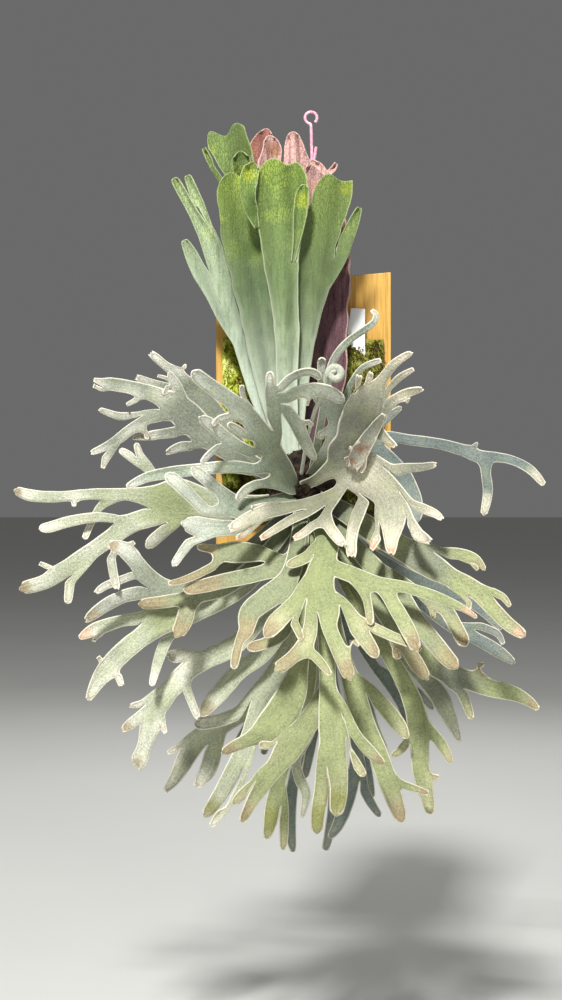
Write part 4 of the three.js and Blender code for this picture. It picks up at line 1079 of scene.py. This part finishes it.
# Each frond's tone and its spots: u, v, radius in photograph pixels, colour. The dark grey-green
# spots are painted shade where a frond lies in the shadow of others.
LOOKS = {
    "centre_crest": ("ivory", [(360, 420, 34, "grey"), (342, 455, 26, "grey"),
        (392, 550, 9, "peach"), (345, 564, 8, "peach"), (293, 535, 7, "peach"),
        (237, 536, 8, "peach"), (372, 546, 7, "peach"), (262, 538, 7, "peach"),
        (360, 450, 5, "rust"), (366, 447, 3, "rust"), (352, 461, 4, "rust"),
        (420, 470, 22, "painted_shade")]),
    "centre_lower": ("lime", [(326, 580, 46, "olive"), (417, 645, 15, "tan"), (378, 650, 12, "tan"),
        (348, 670, 14, "tan"), (285, 656, 16, "tan"), (245, 640, 13, "tan"), (268, 630, 14, "tan"),
        (470, 612, 8, "peach")]),
    "left_tan_finger": ("sage", [(150, 602, 20, "tan"), (178, 632, 14, "tan")]),
    "left_middle": ("sage", [(205, 587, 24, "tan"), (178, 584, 14, "tan"), (208, 549, 10, "tan")]),
    "right_paired_fingers": ("sage", [(452, 660, 15, "tan"), (464, 640, 12, "tan"),
        (460, 664, 5, "peach")]),
    "right_tan_finger": ("sage", [(420, 665, 18, "tan"), (397, 654, 9, "tan")]),
    "middle_tan_fingers": ("sage", [(246, 632, 18, "tan"), (255, 646, 14, "tan"),
        (236, 656, 10, "tan")]),
    "right_fork": ("lime", [(335, 512, 20, "grey"), (380, 535, 20, "grey"), (425, 560, 34, "painted_shade"),
        (520, 633, 8, "peach")]),
    "left_long": ("pale", [(24, 588, 9, "tan"), (18, 492, 6, "tan"), (172, 503, 36, "olive")]),
    "left_crest": ("ash", [(190, 420, 36, "painted_shade")]),
    "left_upper_shaded": ("ash", [(205, 402, 26, "painted_shade")]),
    "left_pale_crest": ("ash", [(113, 546, 8, "tan"), (93, 616, 8, "tan")]),
    "right_long": ("painted_shade_slate", [(540, 480, 16, "cream"), (485, 505, 14, "cream")]),
    "low_right_blade": ("lime", [(400, 812, 14, "tan"), (425, 792, 7, "tan")]),
    "low_left_blade": ("lime", [(228, 750, 12, "tan")]),
    "low_middle_blade": ("lime", [(246, 812, 12, "tan")]),
    "low_middle_front": ("lime", [(317, 818, 18, "moss"), (337, 800, 14, "moss"),
        (378, 762, 8, "tan")]),
    "low_middle_tips": ("lime", [(270, 820, 16, "moss")]),
    "right_hanging": ("lime", [(420, 715, 20, "olive")]),
    "right_low": ("lime", [(455, 678, 32, "painted_shade"), (532, 704, 6, "tan")]),
    "right_low_back": ("pale", [(440, 690, 18, "painted_shade")]),
    "low_left_pale": ("pale", [(206, 708, 10, "tan")]),
    "low_left_tips": ("pale", [(190, 760, 12, "painted_shade")]),
    "low_left_hanging": ("pale", [(212, 808, 12, "moss")]),
    "left_low": ("pale", [(138, 762, 6, "tan"), (127, 728, 7, "tan")]),
    "left_low_forked": ("pale", [(165, 612, 26, "olive"), (85, 635, 10, "peach")]),
}
for tone, names in {"mint": ("centre_left", "left_arched", "curled", "inner_crest"),
                    "pale": ("low_small_tips",),
                    "painted_shade_slate": ("right_dark", "low_right_shaded", "low_dark_finger",
                              "low_back_finger")}.items():
    LOOKS.update((name, (tone, [])) for name in names)
RAGGED = {"centre_crest", "left_crest", "left_pale_crest", "left_upper_shaded", "left_low",
          "low_left_tips", "right_low_back", "low_small_tips"}
CURLS = {"centre_crest": 6.0, "left_crest": 3.0, "centre_left": 3.5}


def spotted(tint, u, v, spots):
    """A tint with the soft spots that lie near its place in the photograph."""
    for spot_u, spot_v, radius, key in spots:
        whole, gone = (share * radius for share in SPOT_EDGE)
        near = 1 - smooth(whole, gone, math.dist((u, v), (spot_u, spot_v)))
        tint = blend(tint, colour(SPOT_COLOURS[key]), SPOT_SHARE * near)
    return tint


def frond_tints(name, sheet, tips, seed):
    tone, spots = LOOKS.get(name, ("sage", []))
    light, shaded, ends = (colour(code) for code in TONES[tone])
    tints = []
    for (u, v, *_), tip in zip(sheet.points, tips):
        patch = 0.5 + 0.5 * noise.noise(Vector((u / 24, v / 24, seed)))
        # Darker towards the bud: partly the stalks' own darker felt, partly painted shade where the
        # fronds crowd together.
        lit = smooth(15, 110, away_from_bud(u, v))
        tint = blend(shaded, light, 0.35 * patch + 0.65 * lit)
        tint = blend(tint, ends, (0.45 + 0.5 * patch) * tip)
        tints.append(spotted(tint, u, v, spots))
    return tints


# Lobes that the solids leave out, because they lie against the frond that they belong to.
FLAPS = {
    "centre_crest": [
        {"": [[384, 414, 5, 0.8], [375, 428, 12, 3], [366, 442, 16, 6], [359, 454, 18, 7],
              [355, 463, 14, 6.5]],
         "2r": [[353, 450, 5, 6.5], [350, 448, 3, 6]],
         "3r": [[349, 459, 6, 6.5], [345, 459, 3, 6]],
         "3l": [[363, 467, 6, 6.5], [361, 472, 3, 6]]}],
    "shield_back_left": [
        {"": [[243, 196, 4, 0.6], [244, 182, 14, 2], [242, 168, 18, 3], [241, 158, 17, 3]]}],
    "shield_front": [
        {"": [[293, 262, 2, 0.6], [297, 238, 7, 2], [300, 214, 13, 3.6], [302, 197, 13, 4],
              [304, 188, 9, 4]]},
        {"": [[257, 228, 3, 1], [252, 212, 12, 3], [248, 195, 15, 5], [249, 178, 18, 4],
              [252, 168, 15, 2]]}],
}


# ---------- fertile fronds ----------
def fertile_frond(name, share, branches, seed):
    curl = CURLS.get(name, FROND_CURL)
    sheet = Sheet(FROND_COLUMNS, seed, curl, FROND_TWIST, name in RAGGED)
    for part in (branches, *FLAPS.get(name, [])):
        sheet.grow(part)
    tips = sheet.tips()
    depths = []
    for u, v, forward, lift, *_ in sheet.points:
        spot = Vector((u / FROND_WANDER["size"], v / FROND_WANDER["size"], seed * 3.7))
        wander = noise.noise(spot) * FROND_WANDER["height"] * past_bud(u, v)
        depths.append(fertile_depth(share, u, v) + forward + lift * past_bud(u, v) + wander)
    values_of = {"rim": sheet.rims(), "tint": frond_tints(name, sheet, tips, seed),
                 "flow": sheet.flow(), "ripe": tips}
    piece = sheet_object(f"felted_{name}", sheet, depths, FROND_THICKNESS, values_of)
    settle(piece, felt, "felted_frond", f"frond_{name}")


for layer, (name, branches) in enumerate(FERTILE_FRONDS.items()):
    fertile_frond(name, layer / (len(FERTILE_FRONDS) - 1), branches, layer + 1)
for seed, (name, frond) in enumerate(PLACED_FRONDS.items(), 41):
    fertile_frond(name, frond["share"], frond["branches"], seed)


# ---------- shield fronds ----------
# Tone at the foot, half way up and at the top, then the number and height of the pleats.
SHIELD_LOOKS = {
    "brown_shield_left": ("5b403f", "7d5148", "a26a5c", 70, 2.6),
    "brown_shield_right": ("5a4449", "755459", "dcaea4", 55, 2.8),
    "shield_back_left": ("aab5a4", "6a7c52", "66793a", 50, 2.4),
    "shield_left_fingers": ("b3bdae", "8e9c80", "96a472", 60, 1.6),
    "shield_left": ("b2bba8", "586846", "80953a", 52, 2.6),
    "shield_right": ("b2bba8", "5a6942", "7a8d42", 56, 2.8),
    "shield_front": ("bac3b0", "6c7e52", "738939", 60, 3.0),
}
# Their spots: u, v, radius in photograph pixels, colour. The dark green spots are painted shade in
# the hollows between the shields' lobes.
SHIELD_SPOTS = {
    "shield_front": [(250, 212, 9, "painted_hollow_shade"), (253, 200, 7, "painted_hollow_shade"), (249, 174, 9, "gold"),
                     (303, 200, 9, "gold")],
    "shield_left": [(242, 182, 8, "gold"), (250, 250, 12, "painted_hollow_shade")],
    "shield_back_left": [(236, 176, 10, "painted_hollow_shade")],
    "shield_right": [(346, 188, 8, "gold")],
    "brown_shield_right": [(274, 150, 9, "russet"), (340, 260, 26, "mauve"), (300, 146, 8, "rose")],
}
# How far the points of a shield's last row reach out, from its left side, in widths.
LOBED_ENDS = {
    "shield_back_left": (0.02, 0.38, 0.4, 0.22, 0.1, 0.2, 0.33, 0.33, 0.16),
    "shield_left": (-0.2, 0.1, 0.26, 0.35, 0.38, 0.33, 0.22, 0.06, -0.25),
    "shield_right": (-0.2, 0.14, 0.3, 0.35, 0.29, 0.19, 0.17, 0.2, 0.25),
    "shield_front": (-0.18, 0.06, 0.18, 0.21, 0.15, 0.02, 0.15, 0.1, -0.18),
}


def shield_frond(name, layer, branches):
    *tones, pleats, height = SHIELD_LOOKS[name]
    foot, middle, top = (colour(code) for code in tones)
    sheet = Sheet(SHIELD_COLUMNS, layer + 60, SHIELD_CURL, SHIELD_TWIST)
    sheet.grow(branches, LOBED_ENDS.get(name))
    for flap in FLAPS.get(name, []):
        sheet.grow(flap)
    foot_u = branches[""][0][0]
    depths, rises, tints = [], [], []
    for u, v, forward, lift, cup, *_ in sheet.points:
        rise = min(max((SHIELD_FOOT_V - v) / (SHIELD_FOOT_V - SHIELD_TOP_V), 0), 1)
        lean = math.atan2(u - foot_u, SHIELD_FOOT_V + PLEATS_MEET_PX - v)
        turn = lean * pleats + layer * PLEAT_SHIFT
        pleat = math.sin(turn) * height * (0.2 + 0.8 * rise)
        spot = Vector((u / SHIELD_WANDER["across"], v / SHIELD_WANDER["up"], layer * 5.3))
        wander = noise.noise(spot) * SHIELD_WANDER["height"] * rise
        depths.append(shield_depth(layer, rise, cup) + forward + lift * rise + pleat + wander)
        rises.append(rise)
        tone = blend(foot, middle, smooth(0, 0.55, rise))
        tone = blend(tone, top, smooth(0.5, 0.95, rise))
        tone = spotted(tone, u, v, SHIELD_SPOTS.get(name, []))
        # Painted light on the pleats' ridges and painted shade in their valleys, made uneven with
        # noise.
        fold = math.sin(turn + 1.1) + 1.6 * noise.noise(Vector((lean * 40, v / 90, layer)))
        pleat_light_and_shade = 1 + 0.15 * fold * (0.3 + 0.7 * smooth(0, 0.3, rise))
        tints.append([part * pleat_light_and_shade for part in tone])
    values_of = {"rim": sheet.rims(), "height": rises, "tint": tints}
    title = name.replace("shield", "shield_frond")
    piece = sheet_object(title, sheet, depths, SHIELD_THICKNESS, values_of)
    is_dry = name in BROWN_SHIELDS
    settle(piece, dried if is_dry else green, "dried_shield" if is_dry else "green_shield", name)


for layer, (name, branches) in enumerate({**BROWN_SHIELDS, **GREEN_SHIELDS}.items()):
    shield_frond(name, layer, branches)


# ---------- tubes ----------
def tube(name, points, radii, sides=4):
    """A round tube through points, each with its own radius in mm, as a mesh."""
    curve = bpy.data.curves.new(name, "CURVE")
    curve.dimensions = "3D"
    curve.bevel_depth = MM
    curve.bevel_resolution = sides
    curve.use_fill_caps = True
    line = curve.splines.new("NURBS")
    line.points.add(len(points) - 1)
    for knot, point, radius in zip(line.points, points, radii):
        knot.co = (*point, 1)
        knot.radius = radius
    line.order_u = 4
    line.use_endpoint_u = True
    line.resolution_u = 6
    piece = bpy.data.objects.new(name, curve)
    bpy.context.scene.collection.objects.link(piece)
    pick(piece)
    bpy.ops.object.convert(target="MESH")
    piece = bpy.context.object
    piece.data.shade_smooth()
    return piece


def hanger_wire():
    """Up from its hole in the board and once round into an eye, the twisted end beside it."""
    top = place(WIRE["u"], WIRE["top_v"], WIRE["depth"])
    foot = top.copy()
    foot.z = (BOARD_HEIGHT / 2 - BOARD_TOP_SLOPE / 2 - WIRE["hole"]) * MM
    points = []
    for part in WIRE_RISE:
        point = foot.lerp(top, part)
        point.x += WIRE["bow"] * math.sin(math.pi * part) * MM
        points.append(point)
    for step in range(WIRE_STEPS + 1):
        turn = math.radians(WIRE_EYE["turn"] * step / WIRE_STEPS)
        out = Vector((-math.sin(turn), 0, 1 - math.cos(turn)))
        points.append(top + out * WIRE_EYE["radius"] * MM)
    wire = tube("hanger_wire_coated", points, [WIRE_DIAMETER / 2] * len(points))
    tail = [place(u, v, WIRE["depth"]) for u, v in WIRE_TAIL]
    end = tube("wire_end", tail, [WIRE_DIAMETER / 2] * len(tail))
    pick(wire, end)
    bpy.ops.object.join()
    settle(wire, pink, "coated_wire", "hanger_wire")


def crozier():
    """A young frond still rolled up, thicker towards its rolled end, on its round stalk."""
    points = [place(u, v, fertile_depth(share, u, v)) for u, v, share in CROZIER_STALK]
    radii = [*CROZIER_FORM["stalk"]]
    u, v = CROZIER["u"], CROZIER["v"]
    middle = place(u, v, fertile_depth(CROZIER["share"], u, v))
    for step in range(CROZIER_FORM["steps"] + 1):
        part = step / CROZIER_FORM["steps"]
        angle = math.pi - 2 * math.pi * CROZIER["turns"] * part
        radius = CROZIER["outer"] + (CROZIER["inner"] - CROZIER["outer"]) * part
        out = Vector((math.cos(angle), -CROZIER_FORM["forward"] * part, math.sin(angle)))
        points.append(middle + out * radius * MM)
        swell = math.sin(math.pi * min(part * 1.3, 1))
        radii.append(CROZIER_FORM["roll"] + CROZIER_FORM["swell"] * swell)
    piece = tube("felted_crozier", points, radii, 6)
    count = len(piece.data.vertices)
    keep_values(piece, {"rim": [CROZIER_FORM["rim"]] * count,
                        "tint": [colour(CROZIER_FORM["tint"])] * count})
    settle(piece, felt, "felted_frond", "crozier")


hanger_wire()
crozier()


# ---------- board, tag, rhizome, moss ----------
def pine_board():
    """Sawn board with eased edges and the drilled hole that the wire goes into."""
    board = primitive("pine_board", bpy.ops.mesh.primitive_cube_add, size=1,
                      location=(0, -BOARD_THICKNESS / 2 * MM, 0),
                      scale=(BOARD_WIDTH * MM, BOARD_THICKNESS * MM, BOARD_HEIGHT * MM))
    bpy.ops.object.mode_set(mode="EDIT")
    bpy.ops.mesh.select_all(action="DESELECT")
    bpy.ops.object.mode_set(mode="OBJECT")
    for vertex in board.data.vertices:
        vertex.select = vertex.co.x < 0 < vertex.co.z
    bpy.ops.object.mode_set(mode="EDIT")
    bpy.ops.mesh.select_mode(type="VERT")
    bpy.ops.transform.translate(value=(0, 0, -BOARD_TOP_SLOPE * MM))
    bpy.ops.object.mode_set(mode="OBJECT")
    top = place(WIRE["u"], WIRE["top_v"], WIRE["depth"])
    drill = primitive("drill", bpy.ops.mesh.primitive_cylinder_add, vertices=24,
                      radius=(WIRE_DIAMETER / 2 + SEAT_GAP) * MM, depth=2 * WIRE["hole"] * MM,
                      location=(top.x, top.y, (BOARD_HEIGHT - BOARD_TOP_SLOPE) / 2 * MM))
    apply_modifier(board, "BOOLEAN", object=drill, operation="DIFFERENCE", solver="EXACT")
    bpy.data.objects.remove(drill)
    apply_modifier(board, "BEVEL", width=BOARD_EDGE * MM, segments=2, limit_method="ANGLE")
    pick(board)
    bpy.ops.object.shade_smooth_by_angle(angle=math.radians(40))
    settle(board, pine, "pine", "board")


def plant_tag():
    """A blank tag cut from white plastic sheet."""
    corners = [place(u, v, TAG["depth"]) for u, v in TAG_CORNERS]
    middle = sum(corners, Vector()) / len(corners)

    def turn(corner):
        return math.atan2(corner.x - middle.x, corner.z - middle.z)

    tag = primitive("plant_tag_blank", bpy.ops.mesh.primitive_circle_add, vertices=len(corners),
                    radius=10 * MM, fill_type="NGON", location=middle,
                    rotation=(math.pi / 2, 0, 0))
    order = sorted(tag.data.vertices, key=lambda vertex: turn(vertex.co))
    for vertex, corner in zip(order, sorted(corners, key=turn)):
        vertex.co = corner
    apply_modifier(tag, "SOLIDIFY", thickness=TAG["thickness"] * MM, offset=1)
    apply_modifier(tag, "BEVEL", width=TAG_EDGE * MM, segments=2, limit_method="ANGLE")
    settle(tag, white, "tag", "plant_tag")


def moss_lump(x, z):
    across = math.sin(x / MOSS_WAVES["x"] + math.sin(z / MOSS_WAVES["slow_z"]))
    up = math.sin(z / MOSS_WAVES["z"] + math.sin(x / MOSS_WAVES["slow_x"]))
    return MOSS["lumps"] * across * up


def moss_surface(across, up):
    """A point of the moss, in metres, for places from -1 to 1 across and up the pad."""
    middle = place(MOSS["u"], MOSS["v"], BOARD_THICKNESS) / MM
    corner = 1 / math.hypot(1, MOSS_CORNER * min(abs(across), abs(up)) ** 2)
    ragged = MOSS_RAGGED * (1 + noise.noise(Vector((across * 4, up * 4, 9))))
    inset = 1 - ragged * max(abs(across), abs(up)) ** 6
    x = middle.x + across * corner * inset * MOSS["width"] / 2
    z = middle.z + up * corner * inset * MOSS["height"] / 2
    dome = (1 - across**4) * (1 - up**4)
    spot = Vector((x / MOSS_ROUGH["size"], z / MOSS_ROUGH["size"], 3))
    rough = noise.fractal(spot, 0.9, 2, 4) * MOSS_ROUGH["height"]
    rise = MOSS["edge"] + (MOSS["dome"] + moss_lump(x, z) + rough) * dome
    return Vector((x, -BOARD_THICKNESS - SEAT_GAP - rise, z)) * MM


def moss_pad():
    """A lumpy pad, its rim turned down to the board, under a pile of small leafy sprigs."""
    pad = primitive("moss_pad_sprigs", bpy.ops.mesh.primitive_grid_add, size=2,
                    x_subdivisions=MOSS_GRID[0], y_subdivisions=MOSS_GRID[1],
                    rotation=(math.pi / 2, 0, 0))
    for vertex in pad.data.vertices:
        vertex.co = moss_surface(vertex.co.x, vertex.co.z)
    pick(pad)
    bpy.ops.object.mode_set(mode="EDIT")
    bpy.ops.mesh.select_all(action="DESELECT")
    bpy.ops.mesh.select_non_manifold()
    bpy.ops.mesh.extrude_region_move()
    foot = (0, -(BOARD_THICKNESS + SEAT_GAP) * MM, 0)
    bpy.ops.transform.resize(value=(1, 0, 1), center_override=foot)
    bpy.ops.mesh.edge_face_add()
    bpy.ops.mesh.select_all(action="SELECT")
    bpy.ops.mesh.normals_make_consistent(inside=False)
    bpy.ops.object.mode_set(mode="OBJECT")
    pad.data.shade_smooth()
    dice = random.Random(7)
    reach = SPRIGS["reach"]
    sunk = Vector((0, SPRIGS["root"] * MM, 0))
    leaves = []
    for _ in range(SPRIGS["count"]):
        root = moss_surface(dice.uniform(-reach, reach), dice.uniform(-reach, reach))
        for _ in range(SPRIGS["leaves"]):
            turn = dice.uniform(0, 2 * math.pi)
            out = Vector((math.cos(turn), 0, math.sin(turn)))
            side = Vector((-math.sin(turn), 0, math.cos(turn))) * SPRIGS["half"] * MM
            length = dice.uniform(*SPRIGS["length"]) * MM
            rise = Vector((0, -dice.uniform(*SPRIGS["lift"]), 0)) * length
            half = out * 0.5 * length
            leaves.append((root - out * 0.2 * MM + sunk, root + side + half,
                           root + out * length + rise, root - side + half,
                           root + half + rise * 0.75))
    add_leaves(pad, "sprigs", leaves, SPRIG_FACES)
    settle(pad, moss, "moss", "moss_pad")


def rhizome():
    """The bud: a lumpy dark body under overlapping papery scales."""
    middle = place(RHIZOME["u"], RHIZOME["v"], RHIZOME["depth"])
    radii = Vector((RHIZOME["width"], RHIZOME["thickness"], RHIZOME["height"])) * (MM / 2)
    body = primitive("rhizome_scales", bpy.ops.mesh.primitive_uv_sphere_add, segments=64,
                     ring_count=40, radius=1)
    for vertex in body.data.vertices:
        lump = BUD["shrink"] + BUD["lumps"] * noise.noise(vertex.co * BUD["lump_size"])
        vertex.co = middle + vertex.co * lump * radii
    body.data.shade_smooth()
    dice = random.Random(11)
    leaves = []
    for _ in range(SCALES["count"]):
        out = Vector([dice.gauss(0, 1) for _ in range(3)]).normalized()
        root = middle + out * BUD["shrink"] * radii
        stray = Vector((dice.gauss(0, 0.3), 0, dice.gauss(0, 0.3)))
        along = Vector((0, -1, 0)) + out * out.y + stray
        along = (along - out * along.dot(out)).normalized()
        length = dice.uniform(*SCALES["length"]) * MM
        side = out.cross(along) * (dice.uniform(*SCALES["width"]) * MM) / 2
        half = along * length * 0.5
        lift = out * SCALES["lift"] * MM
        leaves.append((root - side, root + side, root + side + half + lift,
                       root + along * length + out * SCALES["tip"] * MM,
                       root - side + half + lift, root + half - out * SCALES["under"] * MM))
    add_leaves(body, "scales", leaves, SCALE_FACES)
    settle(body, bark, "rhizome", "rhizome")


pine_board()
plant_tag()
moss_pad()
rhizome()


# ---------- studio ----------
def studio():
    """A pale floor well below the plant, a key light, a weak fill, a back light and a dim sky."""
    low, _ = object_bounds()
    floor = primitive("floor", bpy.ops.mesh.primitive_plane_add, size=FLOOR["size"],
                      location=(0, 0, low.z - FLOOR["drop"]))
    floor.data.materials.append(paint.material)
    floor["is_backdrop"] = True
    world = bpy.data.worlds.new("studio")
    bpy.context.scene.world = world
    world.use_nodes = True
    sky = world.node_tree.nodes["Background"]
    sky.inputs["Color"].default_value = SKY["colour"]
    sky.inputs["Strength"].default_value = SKY["strength"]
    for name, (where, power, size) in LIGHTS.items():
        bpy.ops.object.light_add(type="AREA", location=where)
        light = bpy.context.object
        light.name = name
        light.data.energy = power
        light.data.size = size
        aim = Vector(LIT_POINT) - Vector(where)
        light.rotation_euler = aim.to_track_quat("-Z", "Y").to_euler()


def camera():
    """The photograph's own view: level, straight at the board, from in front of it."""
    bpy.ops.object.camera_add(location=Vector((CENTRE_X, -CAMERA_DISTANCE, CENTRE_Z)) * MM,
                              rotation=(math.pi / 2, 0, 0))
    view = bpy.context.object
    view.data.sensor_width = SENSOR
    view.data.lens = SENSOR * CAMERA_DISTANCE / (PHOTO_HEIGHT * SCALE_AT_WALL)
    bpy.context.scene.camera = view


studio()
camera()
bpy.context.scene.view_settings.view_transform = "Standard"
